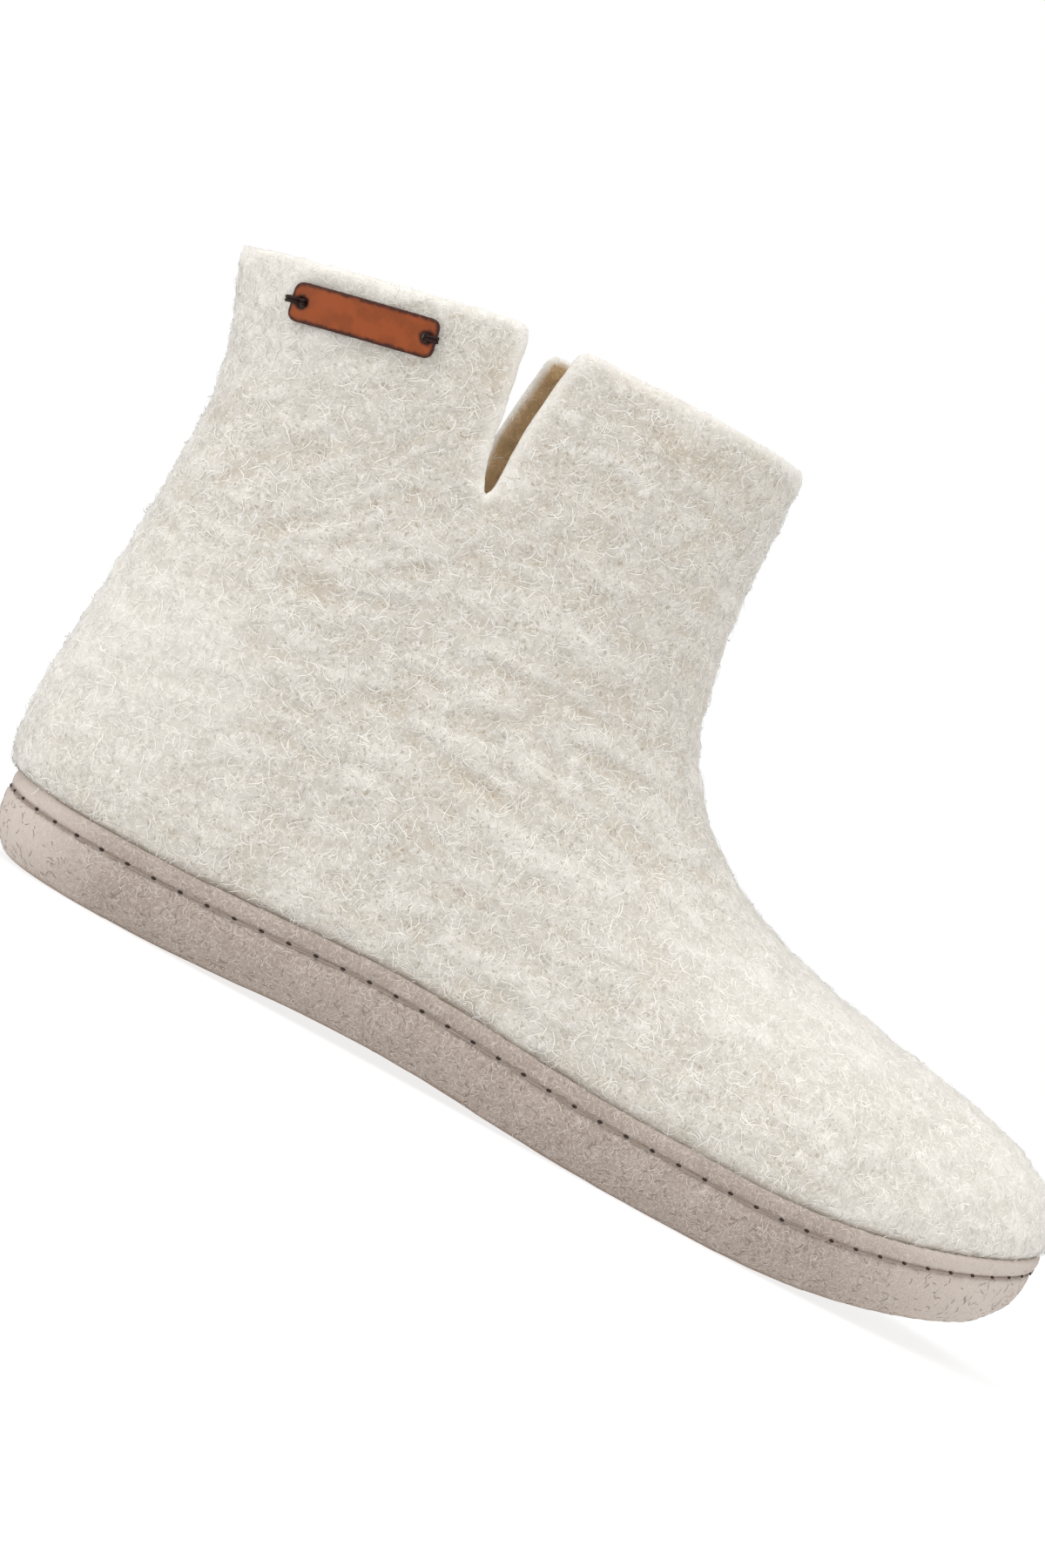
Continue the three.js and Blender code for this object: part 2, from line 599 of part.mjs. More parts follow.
// What is cut off above the collar, with the two slits, as one shape carried right across the boot.
function collarCut() {
  const backEnd = -SHAFT_WIDTH;
  const frontEnd = SHAFT_FRONT + SHAFT_WIDTH;
  const above = 2 * COLLAR_FRONT_HEIGHT;
  const slitTop = COLLAR_FRONT_HEIGHT - COLLAR_SLIT_DROP;
  const slitFoot = slitTop - SLIT_DEPTH;
  const [footBack, footFront] = [SLIT_PLACE - SLIT_FOOT_WIDTH / 2, SLIT_PLACE + SLIT_FOOT_WIDTH / 2];
  const [mouthBack, mouthFront] = [footBack - SLIT_BACK_LEAN, footFront + SLIT_FRONT_LEAN];
  const backTop = slitTop - COLLAR_STEP;
  const backEdge = (x) => mapLinear(x, -COLLAR_FLARE, mouthBack, COLLAR_BACK_HEIGHT, backTop);
  const rise = (x) => smoothstep(x, mouthFront, mouthFront + SHAFT_FRONT / 2);
  const frontEdge = (x) => slitTop + COLLAR_SLIT_DROP * rise(x);
  const shape = new THREE.Shape();
  shape.moveTo(backEnd, backEdge(backEnd));
  shape.lineTo(mouthBack - SLIT_CORNER, backEdge(mouthBack - SLIT_CORNER));
  shape.quadraticCurveTo(
    mouthBack, backTop,
    lerp(mouthBack, footBack, SLIT_CORNER / SLIT_DEPTH), backTop - SLIT_CORNER,
  );
  shape.lineTo(footBack, slitFoot + SLIT_FOOT_WIDTH / 2);
  shape.absarc(SLIT_PLACE, slitFoot + SLIT_FOOT_WIDTH / 2, SLIT_FOOT_WIDTH / 2, -Math.PI, 0);
  shape.lineTo(lerp(mouthFront, footFront, SLIT_CORNER / SLIT_DEPTH), slitTop - SLIT_CORNER);
  shape.quadraticCurveTo(mouthFront, slitTop, mouthFront + SLIT_CORNER, frontEdge(mouthFront + SLIT_CORNER));
  for (const share of [0.35, 0.65, 1]) {
    const x = mouthFront + share * SHAFT_FRONT / 2;
    shape.lineTo(x, frontEdge(x));
  }
  shape.lineTo(frontEnd, COLLAR_FRONT_HEIGHT);
  shape.lineTo(frontEnd, above);
  shape.lineTo(backEnd, above);
  const across = 2 * SHAFT_WIDTH;
  const cutter = new THREE.ExtrudeGeometry(shape, { depth: across, bevelEnabled: false, curveSegments: 5 });
  cutter.rotateX(Math.PI / 2);
  cutter.translate(0, across / 2, 0);
  return solidOf(cutter);
}

// A slice of the boot around its seam, between two heights above the seam.
const seamSlice = (inset, low, high) => soleLayer([
  { inset, height: SEAM_HEIGHT + low },
  { inset, height: SEAM_HEIGHT + high },
]);

// The felt's straight foot, which stands inside the rand.
function footBand() {
  const reach = 0.6 * FELT_THICKNESS; // how far the band runs up into the felt above it
  const band = seamSlice(FEATHER_INSET, 0, LIP + reach);
  return band.subtract(seamSlice(FEATHER_INSET + FELT_THICKNESS, -reach, LIP + 2 * reach));
}

function upperGeometry() {
  const wellBelow = -2 * SIDE_HEIGHT;
  const belowFoot = seamSlice(-BALL_WIDTH / 4, wellBelow, LIP);
  const shell = bootBody(OUTSIDE).subtract(belowFoot).subtract(bootBody(INSIDE)).subtract(collarCut());
  return geometryFrom(shell.add(footBand()));
}

// The tag and its ties

// A point of the shaft's outer side at a place of its side view, raised outwards by some distance.
function shaftSurface(x, z, raise) {
  const at = (px, pz) => {
    const deep = (frontAt(OUTSIDE, pz) - px) / SHAFT_FRONT_DEPTH;
    const half = fullHalf(OUTSIDE, 'outer', px, pz) * rounding(deep, ROUNDNESS.outer);
    return new THREE.Vector3(px, ridgeAt(px) - half, pz);
  };
  const point = at(x, z);
  const alongX = at(x + 1, z).sub(at(x - 1, z));
  const alongZ = at(x, z + 1).sub(at(x, z - 1));
  const normal = alongX.cross(alongZ).normalize();
  return point.addScaledVector(normal, raise);
}

// The point at a height over the shaft that is seen at a place of the side view.
function overShaft(x, z, raise) {
  const first = shaftSurface(x, z, raise);
  return shaftSurface(2 * x - first.x, 2 * z - first.z, raise);
}

// A place on the tag, from its own middle, as a place of the boot's side view.
function tagPlace(along, up) {
  const turn = new THREE.Vector2(along, up).rotateAround(new THREE.Vector2(), degToRad(TAG_TILT));
  return [TAG_ALONG + turn.x, TAG_UP + turn.y];
}

// A curved sheet on the shaft, larger than the tag, from which the tag is cut.
function tagSheet() {
  const margin = 2 * TAG_THICKNESS;
  const layer = (raise) => {
    const points = [];
    for (let i = 0; i <= TAG_COLUMNS; i++) {
      for (let j = 0; j <= TAG_ROWS; j++) {
        const along = (i / TAG_COLUMNS - 0.5) * (TAG_LENGTH + 2 * margin);
        const up = (j / TAG_ROWS - 0.5) * (TAG_HEIGHT + 2 * margin);
        points.push(shaftSurface(...tagPlace(along, up), raise));
      }
    }
    return points;
  };
  const points = [...layer(CLEARANCE), ...layer(CLEARANCE + TAG_THICKNESS)];
  const perLayer = (TAG_COLUMNS + 1) * (TAG_ROWS + 1);
  const at = (i, j, top) => i * (TAG_ROWS + 1) + j + (top ? perLayer : 0);
  const triangles = [];
  const quad = (a, b, c, d) => triangles.push([a, b, c], [a, c, d]);
  for (let i = 0; i < TAG_COLUMNS; i++) {
    for (let j = 0; j < TAG_ROWS; j++) {
      quad(at(i, j, 0), at(i, j + 1, 0), at(i + 1, j + 1, 0), at(i + 1, j, 0));
      quad(at(i, j, 1), at(i + 1, j, 1), at(i + 1, j + 1, 1), at(i, j + 1, 1));
    }
    quad(at(i, 0, 0), at(i + 1, 0, 0), at(i + 1, 0, 1), at(i, 0, 1));
    quad(at(i + 1, TAG_ROWS, 0), at(i, TAG_ROWS, 0), at(i, TAG_ROWS, 1), at(i + 1, TAG_ROWS, 1));
  }
  for (let j = 0; j < TAG_ROWS; j++) {
    quad(at(0, j + 1, 0), at(0, j, 0), at(0, j, 1), at(0, j + 1, 1));
    quad(at(TAG_COLUMNS, j, 0), at(TAG_COLUMNS, j + 1, 0), at(TAG_COLUMNS, j + 1, 1), at(TAG_COLUMNS, j, 1));
  }
  return solidOf(geometryOf(points, triangles));
}

// The tag's outline with its two holes, carried across the boot's outer side.
function tagOutline() {
  const [halfLength, halfHeight, corner] = [TAG_LENGTH / 2, TAG_HEIGHT / 2, TAG_CORNER];
  const shape = new THREE.Shape();
  shape.moveTo(-halfLength + corner, -halfHeight);
  shape.lineTo(halfLength - corner, -halfHeight);
  shape.absarc(halfLength - corner, -halfHeight + corner, corner, -Math.PI / 2, 0);
  shape.lineTo(halfLength, halfHeight - corner);
  shape.absarc(halfLength - corner, halfHeight - corner, corner, 0, Math.PI / 2);
  shape.lineTo(-halfLength + corner, halfHeight);
  shape.absarc(-halfLength + corner, halfHeight - corner, corner, Math.PI / 2, Math.PI);
  shape.lineTo(-halfLength, -halfHeight + corner);
  shape.absarc(-halfLength + corner, -halfHeight + corner, corner, Math.PI, 1.5 * Math.PI);
  for (const sign of [-1, 1]) {
    const hole = new THREE.Path();
    hole.absarc(sign * (halfLength - TAG_HOLE_MARGIN), 0, TAG_HOLE_RADIUS, 0, 2 * Math.PI, true);
    shape.holes.push(hole);
  }
  const depth = SHAFT_WIDTH;
  const prism = new THREE.ExtrudeGeometry(shape, { depth, bevelEnabled: false, curveSegments: 4 });
  prism.rotateX(Math.PI / 2);
  prism.rotateY(-degToRad(TAG_TILT));
  prism.translate(TAG_ALONG, 0, TAG_UP);
  return solidOf(prism);
}

const tagGeometry = () => geometryFrom(tagSheet().intersect(tagOutline()));

// A tie: up through a hole, over the tag's end and down to the felt beyond it.
function tieGeometry(sign) {
  const hole = TAG_LENGTH / 2 - TAG_HOLE_MARGIN;
  const end = TAG_LENGTH / 2 + TIE_REACH;
  const low = CLEARANCE + TIE_THICKNESS / 2;
  const high = CLEARANCE + TAG_THICKNESS + CLEARANCE + TIE_THICKNESS / 2;
  const route = [[hole, low], [hole, 0.75 * high], [hole + 0.35, high], [(hole + end) / 2, high + 0.1],
    [end - 0.4, high], [end, 0.7 * high], [end, low]];
  const points = route.map(([along, raise]) => overShaft(...tagPlace(sign * along, 0), raise));
  const path = new THREE.CatmullRomCurve3(points, false, 'centripetal');
  const across = new THREE.Vector3(-Math.sin(degToRad(TAG_TILT)), 0, Math.cos(degToRad(TAG_TILT)));
  const rings = Array.from({ length: TIE_STEPS + 1 }, (_, k) => {
    const middle = path.getPoint(k / TIE_STEPS);
    const thick = path.getTangent(k / TIE_STEPS).cross(across).normalize();
    return Array.from({ length: TIE_SIDES }, (_, i) => {
      const angle = 2 * Math.PI * i / TIE_SIDES;
      return middle.clone()
        .addScaledVector(across, TIE_WIDTH / 2 * Math.cos(angle))
        .addScaledVector(thick, TIE_THICKNESS / 2 * Math.sin(angle));
    });
  });
  const triangles = [
    ...capTriangles(0, TIE_SIDES, false),
    ...wallTriangles(rings.length, TIE_SIDES),
    ...capTriangles(TIE_STEPS * TIE_SIDES, TIE_SIDES, true),
  ];
  return geometryFrom(solidOf(geometryOf(rings.flat(), triangles)));
}

// Materials
const felt = new THREE.MeshStandardMaterial({ color: 0xe6e1d6, roughness: 0.95, metalness: 0 });
const suede = new THREE.MeshStandardMaterial({ color: 0xb9aaa0, roughness: 0.9, metalness: 0 });
const treadSuede = new THREE.MeshStandardMaterial({ color: 0x9d8d82, roughness: 0.92, metalness: 0 });
const insoleFelt = new THREE.MeshStandardMaterial({ color: 0xcfc5b4, roughness: 0.95, metalness: 0 });
const tagLeather = new THREE.MeshStandardMaterial({ color: 0xa5542f, roughness: 0.55, metalness: 0 });
const waxedCord = new THREE.MeshStandardMaterial({ color: 0x2b1a15, roughness: 0.6, metalness: 0 });

const boot = new THREE.Group();
boot.position.set(-HEEL_SPOT, 0, 0);

function addPiece(name, geometry, material) {
  const mesh = new THREE.Mesh(geometry, material);
  mesh.name = name;
  boot.add(mesh);
}

addPiece('outsole', outsoleGeometry(), treadSuede);
addPiece('midsole', midsoleGeometry(), suede);
addPiece('rand', randGeometry(), suede);
addPiece('insole', insoleGeometry(), insoleFelt);
addPiece('upper', upperGeometry(), felt);
addPiece('label', tagGeometry(), tagLeather);
addPiece('label_tie_back', tieGeometry(-1), waxedCord);
addPiece('label_tie_front', tieGeometry(1), waxedCord);

export default boot;
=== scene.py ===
"""A white boot of felted wool on a suede-covered sole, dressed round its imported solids."""
import math

import bmesh
import bpy
import numpy as np
from bpy.props import FloatProperty, FloatVectorProperty, IntProperty, PointerProperty
from bpy.types import Operator, Panel, PropertyGroup
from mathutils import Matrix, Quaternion, Vector, noise
from mathutils.bvhtree import BVHTree
from mathutils.kdtree import KDTree


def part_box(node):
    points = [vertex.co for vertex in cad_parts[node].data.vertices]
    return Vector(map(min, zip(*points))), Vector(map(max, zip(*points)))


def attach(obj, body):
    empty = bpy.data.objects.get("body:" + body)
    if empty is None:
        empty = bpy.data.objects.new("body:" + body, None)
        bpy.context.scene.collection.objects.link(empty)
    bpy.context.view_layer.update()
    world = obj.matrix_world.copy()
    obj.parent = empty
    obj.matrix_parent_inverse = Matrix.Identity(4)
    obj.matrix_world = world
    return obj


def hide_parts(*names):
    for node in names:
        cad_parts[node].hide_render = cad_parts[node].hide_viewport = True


bl_info = {
    "name": "Wool boot",
    "version": (1, 0, 0),
    "blender": (4, 5, 0),
    "location": "3D View > Sidebar > Wool boot",
    "description": "Dresses the solids of a felted wool boot in felt, suede, leather and thread",
    "category": "Object",
}

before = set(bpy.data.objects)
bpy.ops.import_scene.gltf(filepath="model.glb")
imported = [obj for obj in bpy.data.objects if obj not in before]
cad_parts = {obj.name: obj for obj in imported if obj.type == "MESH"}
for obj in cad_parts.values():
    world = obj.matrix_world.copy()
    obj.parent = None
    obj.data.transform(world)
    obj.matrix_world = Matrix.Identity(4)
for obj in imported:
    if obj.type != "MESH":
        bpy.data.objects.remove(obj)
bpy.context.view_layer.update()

MM = 0.001
SEED = 11


def rows(names, *lines):
    """A table whose lines all have the same named columns."""
    return [dict(zip(names.split(), line)) for line in lines]


# The boot's own sizes, from its solids
HEEL_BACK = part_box("midsole")[0].x
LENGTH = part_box("midsole")[1].x - HEEL_BACK
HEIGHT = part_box("upper")[1].z
RAND_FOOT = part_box("rand")[0].z

# The sole's curve from heel to toe, as its solids have it
ARCH_RISE = 2.7 * MM
TOE_SPRING = 15.5 * MM
HEEL_FLAT_END = 0.14
FOREFOOT_FLAT = (0.585, 0.71)

# Soft troughs in the felt, and ridges where depth is below zero. along and up place the middle as
# shares of the boot's length and height, length is a share of its length, width and depth are shares
# of the felt's thickness, and slope is in degrees, up towards the toe.
FELT_THICKNESS = 4.5 * MM
CREASES = rows(
    "along up length slope width depth",
    (0.336, 0.401, 0.075, 0, 0.42, 0.26),
    (0.297, 0.437, 0.094, 3, 0.55, -0.16),
    (0.398, 0.353, 0.151, -6, 0.75, -0.17),
    (0.361, 0.555, 0.158, 0, 0.4, 0.17),
    (0.426, 0.507, 0.086, -3, 0.4, 0.16),
    (0.132, 0.521, 0.052, 12, 0.5, 0.2),
    (0.098, 0.583, 0.068, 42, 0.42, 0.16),
    (0.206, 0.611, 0.052, 22, 0.5, 0.15),
    (0.237, 0.435, 0.086, 2, 0.42, 0.16),
    (0.255, 0.491, 0.052, 0, 0.42, 0.13),
    (0.333, 0.493, 0.086, 25, 0.42, 0.14),
    (0.287, 0.667, 0.058, 18, 0.42, 0.12),
    (0.34, 0.69, 0.065, 28, 0.42, 0.1),
    (0.053, 0.466, 0.04, 0, 0.6, 0.13),
    (0.129, 0.421, 0.05, 10, 0.42, 0.12),
    (0.382, 0.454, 0.122, 2, 0.5, -0.14),
    (0.282, 0.376, 0.094, -4, 0.6, -0.12),
    (0.157, 0.583, 0.079, 30, 0.5, -0.1),
    (0.077, 0.672, 0.094, 40, 0.5, 0.1),
    (0.039, 0.611, 0.05, 45, 0.5, 0.1),
    (0.281, 0.293, 0.108, -4, 0.5, 0.1),
    (0.197, 0.327, 0.108, -6, 0.5, 0.11),
    (0.076, 0.327, 0.079, -8, 0.5, 0.1),
    (0.322, 0.628, 0.129, 6, 0.6, -0.1),
    (0.397, 0.594, 0.108, -8, 0.5, 0.1),
    (0.181, 0.711, 0.058, 60, 0.5, 0.1),
    (0.547, 0.309, 0.144, -14, 0.7, 0.09),
    (0.707, 0.28, 0.165, -14, 0.7, 0.08),
    (0.484, 0.425, 0.094, -20, 0.6, 0.1),
    (0.322, 0.757, 0.086, 20, 0.5, 0.08),
)

# How far the inner side's creases lie from the outer side's, as a share of length and height
INNER_SHIFT = 0.035

# Fulling ridges at the heel's side of the shaft: they start before a share of the length, over a share
# of it, between two shares of the height, and rise with a slope towards the toe
HEEL_RIDGES = {"before": 0.24, "over": 0.12, "rises": (0.45, 0.6), "slope": 0.75}

# The slits' foot, as shares of the boot's length and height
SLIT_FOOT = {"along": 0.231, "up": 0.753}

# How fulling drew the slits. Their feet go down and shut within a reach. Their front edges go back by
# front, which starts and fades with the distance before the foot, and rises and falls with the height
# over it.
SLIT_DRAWN = {
    "down": 1.1 * MM,
    "reach": 16 * MM,
    "shut": 0.4,
    "shut_reach": 10 * MM,
    "front": 2.5 * MM,
    "starts": (-1.5 * MM, 0.5 * MM),
    "fades": (4 * MM, 26 * MM),
    "rises": (-2 * MM, 16 * MM),
    "falls": (14 * MM, 43 * MM),
    "lost": 0.7,
}

# Heights over the rand's foot: where the ridges start and are full, where the felt swells over the rand and
# draws in again, and where the painted shadow along its foot at the rand ends
RIDGES_FROM = (5 * MM, 13 * MM)
SWELL = {"height": 0.8 * MM, "rises": (4.4 * MM, 6.8 * MM), "falls": (9 * MM, 24 * MM)}
FOOT_SHADE_TO = (4.6 * MM, 5.6 * MM)

# The middle of the foot and of the shaft, as shares of length and height, to tell the felt's outside
# from its inside
HOLLOW = {"ankle": (0.3, 0.62), "shaft": 0.23, "foot": (0.12, 0.87), "foot_up": 0.19, "foot_side": 0.35}

# The seam between the sole's side and the rand: how far each is moved to close it, between which
# distances from it that fades, its height over the rand's foot, and the thread, the welt and the holes
SEAM_CLOSED = {"out": 0.75 * MM, "down": 0.5 * MM, "fades": (0.3 * MM, 2.4 * MM)}
SEAM_OVER_FOOT = 0.6 * MM
RAND_MIDDLE = 2.5 * MM
SEAM_SAMPLES = 900
PARTS_TO_STITCH = 8
SEAM_DROP = 1.05 * MM
WELT = {"inward": 0.95 * MM, "radius": 0.78 * MM}
HOLE_OUT = 0.3 * MM
HOLE_FORM = (1.1, 0.6, 0.6)

# How far each tie goes past the tag's end before it turns into the felt, and how far it goes in
TIE_PAST_TAG = {"label_tie_back": -1.1 * MM, "label_tie_front": 0.4 * MM}
TIE_INTO_FELT = 2 * MM

# How the four sets of wool fibres look: tone 0 is white and 1 cream, and thickness is a share of the setting
FIBRE_SETS = rows(
    "tone thickness",
    (0.0, 1.15),
    (0.0, 0.9),
    (0.3, 0.8),
    (1.0, 0.6),
)

# How far a fibre's middle stands off the felt, in millimetres, for the share of fibres up to each limit,
# and the share from which a fibre is loose and stands off at its end
FIBRE_LIFTS = rows(
    "upto low high",
    (0.82, 0.15, 0.45),
    (0.97, 0.45, 0.8),
    (1.0, 0.7, 1.4),
)
LOOSE_FROM = 0.97

# Above a share of the height, fibres whose first turn is under a limit take the shaft's lay instead
SHAFT_LAY = {"above": 0.45, "turn_under": 4.4, "angle": math.radians(34), "spread": math.radians(26)}
STRAND_STEPS = {"fibre": 5, "nap": 4}

# Places where the wool is painted whiter and the suede lighter, as painted light where it falls fullest, and
# where the wool is more beige, as shares of the boot's length and height
LIT_WOOL_PATCHES = rows(
    "along up wide high",
    (0.04, 0.33, 0.2, 0.3),
    (0.02, 0.84, 0.12, 0.2),
    (0.72, 0.34, 0.34, 0.16),
    (0.95, 0.22, 0.34, 0.34),
)
LIT_SUEDE_PATCHES = rows(
    "along up wide high",
    (0.98, 0.12, 0.22, 0.3),
    (0.0, 0.05, 0.12, 0.3),
)
BEIGE_PATCHES = rows(
    "along up wide high",
    (0.38, 0.93, 0.13, 0.05),
    (0.2, 0.9, 0.06, 0.07),
    (0.34, 0.4, 0.08, 0.03),
    (0.14, 0.53, 0.05, 0.04),
)

# The lamps' places from the point that the camera aims at, and their sizes, in metres
LAMPS = {
    "left": {"place": (-1.5, -0.7, 0.5), "size": 1.0},
    "right": {"place": (1.5, -0.7, 0.6), "size": 1.0},
    "low": {"place": (0.1, -1.6, -0.02), "size": 0.6},
}


def linear(red, green, blue):
    """A colour in linear light from its usual values of 0 to 255."""
    def one(value):
        share = value / 255
        return share / 12.92 if share <= 0.04045 else ((share + 0.055) / 1.055) ** 2.4
    return one(red), one(green), one(blue)


def length_setting(name, text, default):
    return FloatProperty(name=name, description=text, default=default, min=0, unit="LENGTH", precision=5)


def number_setting(name, text, default):
    return FloatProperty(name=name, description=text, default=default, min=0)


def angle_setting(name, text, degrees):
    return FloatProperty(name=name, description=text, default=math.radians(degrees), subtype="ANGLE")


def count_setting(name, text, default):
    return IntProperty(name=name, description=text, default=default, min=1)


def colour_setting(name, text, *shade):
    """A colour, with its default given in its usual values of 0 to 255."""
    return FloatVectorProperty(
        name=name, description=text, default=linear(*shade), size=3, min=0, max=1, subtype="COLOR")


class FeltSettings(PropertyGroup):
    grain: length_setting("Mesh grain", "Side of the squares that the felt's mesh is made of", 1.5 * MM)
    relief: length_setting("Relief", "Height of the soft ridges that fulling leaves in the felt", 0.7 * MM)
    ridge_length: length_setting("Ridge length", "Length of those ridges along the boot", 11 * MM)
    ridge_spacing: length_setting("Ridge spacing", "Distance between those ridges", 4.8 * MM)
    lumps: length_setting("Lumps", "Height of the small lumps of the felt", 0.18 * MM)
    fibres: count_setting("Fibres", "How many curled fibres each piece holds", 4100)
    fibre_length: length_setting("Fibre length", "Length of one curled fibre", 4.6 * MM)
    fibre_radius: length_setting("Fibre radius", "Half of a fibre's thickness", 0.108 * MM)
    white: colour_setting("White wool", "Colour of the light fibres", 243, 240, 233)
    cream: colour_setting("Cream wool", "Colour of the felt between them", 196, 191, 182)
    beige: colour_setting("Beige wool", "Colour of the beige patches", 190, 177, 158)
    # Painted shade: the small hollows are darkened as the shade in them
    pit: colour_setting("Pits", "Colour of the small hollows", 156, 141, 119)
    # Painted shade: the felt's foot along the rand is darkened as the shadow that falls there
    foot_shade: colour_setting("Foot shade", "Colour of the felt's foot along the rand", 150, 134, 118)
    # Painted shade: the felt inside the boot is tinted warmer and darker, as the shade there
    inside: colour_setting("Inside", "Tint of the felt inside the boot", 214, 184, 144)


class SoleSettings(PropertyGroup):
    grain: length_setting("Mesh grain", "Side of the squares that the sole's mesh is made of", 1.4 * MM)
    rand_grain: length_setting("Rand grain", "The same for the narrow strip round the top", 0.75 * MM)
    nap: count_setting("Nap", "How many short fibres a piece holds, before its own share", 2200)
    nap_length: length_setting("Nap length", "Length of one of those fibres", 2.2 * MM)
    nap_radius: length_setting("Nap radius", "Half of its thickness", 0.1 * MM)
    suede: colour_setting("Suede", "Colour of the suede", 173, 160, 151)
    shaded: colour_setting("Suede, brushed", "Colour where the nap lies the other way", 156, 143, 133)
    raised: colour_setting("Raised nap", "Colour of the nap's light fibres", 209, 198, 189)
    # Painted shade: the furrows and specks between the nap's fibres are darkened as the shade there; the
    # dark nap fibres take this colour too
    furrow: colour_setting("Furrows", "Colour between the nap's fibres", 139, 125, 115)
    tread: colour_setting("Tread", "Tint of the down-facing suede under the sole", 215, 205, 197)
    stitch: length_setting("Stitch", "Distance between two stitch holes", 7 * MM)
    hole: length_setting("Hole", "Width of a stitch hole", 1.3 * MM)
    thread_radius: length_setting("Thread radius", "Half of the thread's thickness", 0.16 * MM)
    thread: colour_setting("Thread", "Colour of the thread", 146, 126, 112)
    # Painted shade: the dark inside of a stitch hole, where light does not reach
    dark: colour_setting("Holes", "Colour inside a stitch hole", 52, 40, 34)


class TagSettings(PropertyGroup):
    grain: length_setting("Mesh grain", "Side of the squares that the tag's mesh is made of", 0.42 * MM)
    leather: colour_setting("Leather", "Colour of the tag", 149, 73, 33)
    burnt: colour_setting("Burnt edge", "Colour of the tag's edges", 64, 28, 18)
    burn_reach: length_setting("Burn reach", "How far the dark edge reaches in", 0.75 * MM)
    cord_radius: length_setting("Cord radius", "Half of the thickness of one strand", 0.44 * MM)
    cord: colour_setting("Cord", "Colour of the waxed cord", 46, 26, 19)


class StageSettings(PropertyGroup):
    turn: angle_setting("Turn", "Camera's turn round the boot", -7)
    rise: angle_setting("Rise", "Camera's angle above level", 0.88)
    roll: angle_setting("Roll", "Camera's roll", 28.77)
    distance: length_setting("Distance", "From the camera to the point that it aims at", 1206.9 * MM)
    aim_along: length_setting("Aim along", "That point's distance from the heel's back", 108.41 * MM)
    aim_up: length_setting("Aim up", "That point's height", 74.56 * MM)
    lens: number_setting("Lens", "Focal length in millimetres", 114.5)
    sky: number_setting("Sky", "Strength of the light from all round", 0.42)
    sun: number_setting("Overhead light", "Strength of the soft light from above", 2.2)
    left: number_setting("Left light", "Power of the light at the heel", 7)
    right: number_setting("Right light", "Power of the light at the toe", 7)
    low: number_setting("Low light", "Power of the low light before the sole", 2.5)
    glow: number_setting("Floor glow", "Light that the floor itself gives", 0.8)


# Meshes

def merged_copy(name, *nodes, raised=0.0):
    """A new object with the CAD nodes' meshes, their loose triangles joined. With a raise, the last
    node is there twice, the second time higher, to close a gap above it."""
    form = bmesh.new()
    for node in nodes:
        form.from_mesh(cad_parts[node].data)
    if raised:
        before = len(form.verts)
        form.from_mesh(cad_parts[nodes[-1]].data)
        form.verts.ensure_lookup_table()
        bmesh.ops.translate(form, verts=form.verts[before:], vec=(0, 0, raised))
    bmesh.ops.remove_doubles(form, verts=form.verts, dist=0.001 * MM)
    return object_from(form, name)


def object_from(form, name):
    """A smooth-shaded object in the scene from a bmesh."""
    mesh = bpy.data.meshes.new(name)
    form.to_mesh(mesh)
    form.free()
    mesh.shade_smooth()
    return placed(name, mesh)


def placed(name, data):
    """A new object in the scene."""
    item = bpy.data.objects.new(name, data)
    bpy.context.scene.collection.objects.link(item)
    return item


def settle(piece):
    """Turns a piece with its modifiers, or a curve, into a plain mesh object."""
    evaluated = piece.evaluated_get(bpy.context.evaluated_depsgraph_get())
    mesh = bpy.data.meshes.new_from_object(evaluated)
    mesh.name = piece.name
    mesh.shade_smooth()
    if piece.type == "MESH":
        piece.modifiers.clear()
        piece.data = mesh
        return piece
    name = piece.name
    bpy.data.objects.remove(piece)
    return placed(name, mesh)


def softened(name, grain, rounds, *nodes, raised=0.0):
    """A copy of CAD nodes with even squares and softly rounded edges."""
    piece = merged_copy(name, *nodes, raised=raised)
    remesh = piece.modifiers.new("even", "REMESH")
    remesh.mode = "VOXEL"
    remesh.voxel_size = grain
    remesh.use_smooth_shade = True
    return smoothed(piece, rounds)


def smoothed(piece, rounds, group=""):
    smooth = piece.modifiers.new("soft", "SMOOTH")
    smooth.factor = 0.5
    smooth.iterations = rounds
    smooth.vertex_group = group
    return settle(piece)


def vectors(collection, key):
    values = np.empty(len(collection) * 3, dtype=np.float32)
    collection.foreach_get(key, values)
    return values.reshape(-1, 3).astype(float)


def points_of(piece):
    return vectors(piece.data.vertices, "co")


def normals_of(piece):
    return vectors(piece.data.vertices, "normal")


def stored(piece, name):
    """The numbers that store kept."""
    values = np.empty(len(piece.data.vertices), dtype=np.float32)
    piece.data.attributes[name].data.foreach_get("value", values)
    return values


def move_vertices(mesh, places):
    mesh.vertices.foreach_set("co", places.astype(np.float32).ravel())
    mesh.update()


def store(mesh, name, values):
    """Keeps one number for each vertex, for a material to read."""
    layer = mesh.attributes.new(name, "FLOAT", "POINT")
    layer.data.foreach_set("value", np.asarray(values, dtype=np.float32))


def tree_of(*pieces):
    """The surfaces of pieces, for finding the nearest place on them."""
    places = []
    faces = []
    for piece in pieces:
        first = len(places)
        places += [vertex.co for vertex in piece.data.vertices]
        faces += [[first + index for index in face.vertices] for face in piece.data.polygons]
    return BVHTree.FromPolygons(places, faces)


def smoothstep(values, low, high):
    share = np.clip((values - low) / (high - low), 0, 1)
    return share * share * (3 - 2 * share)


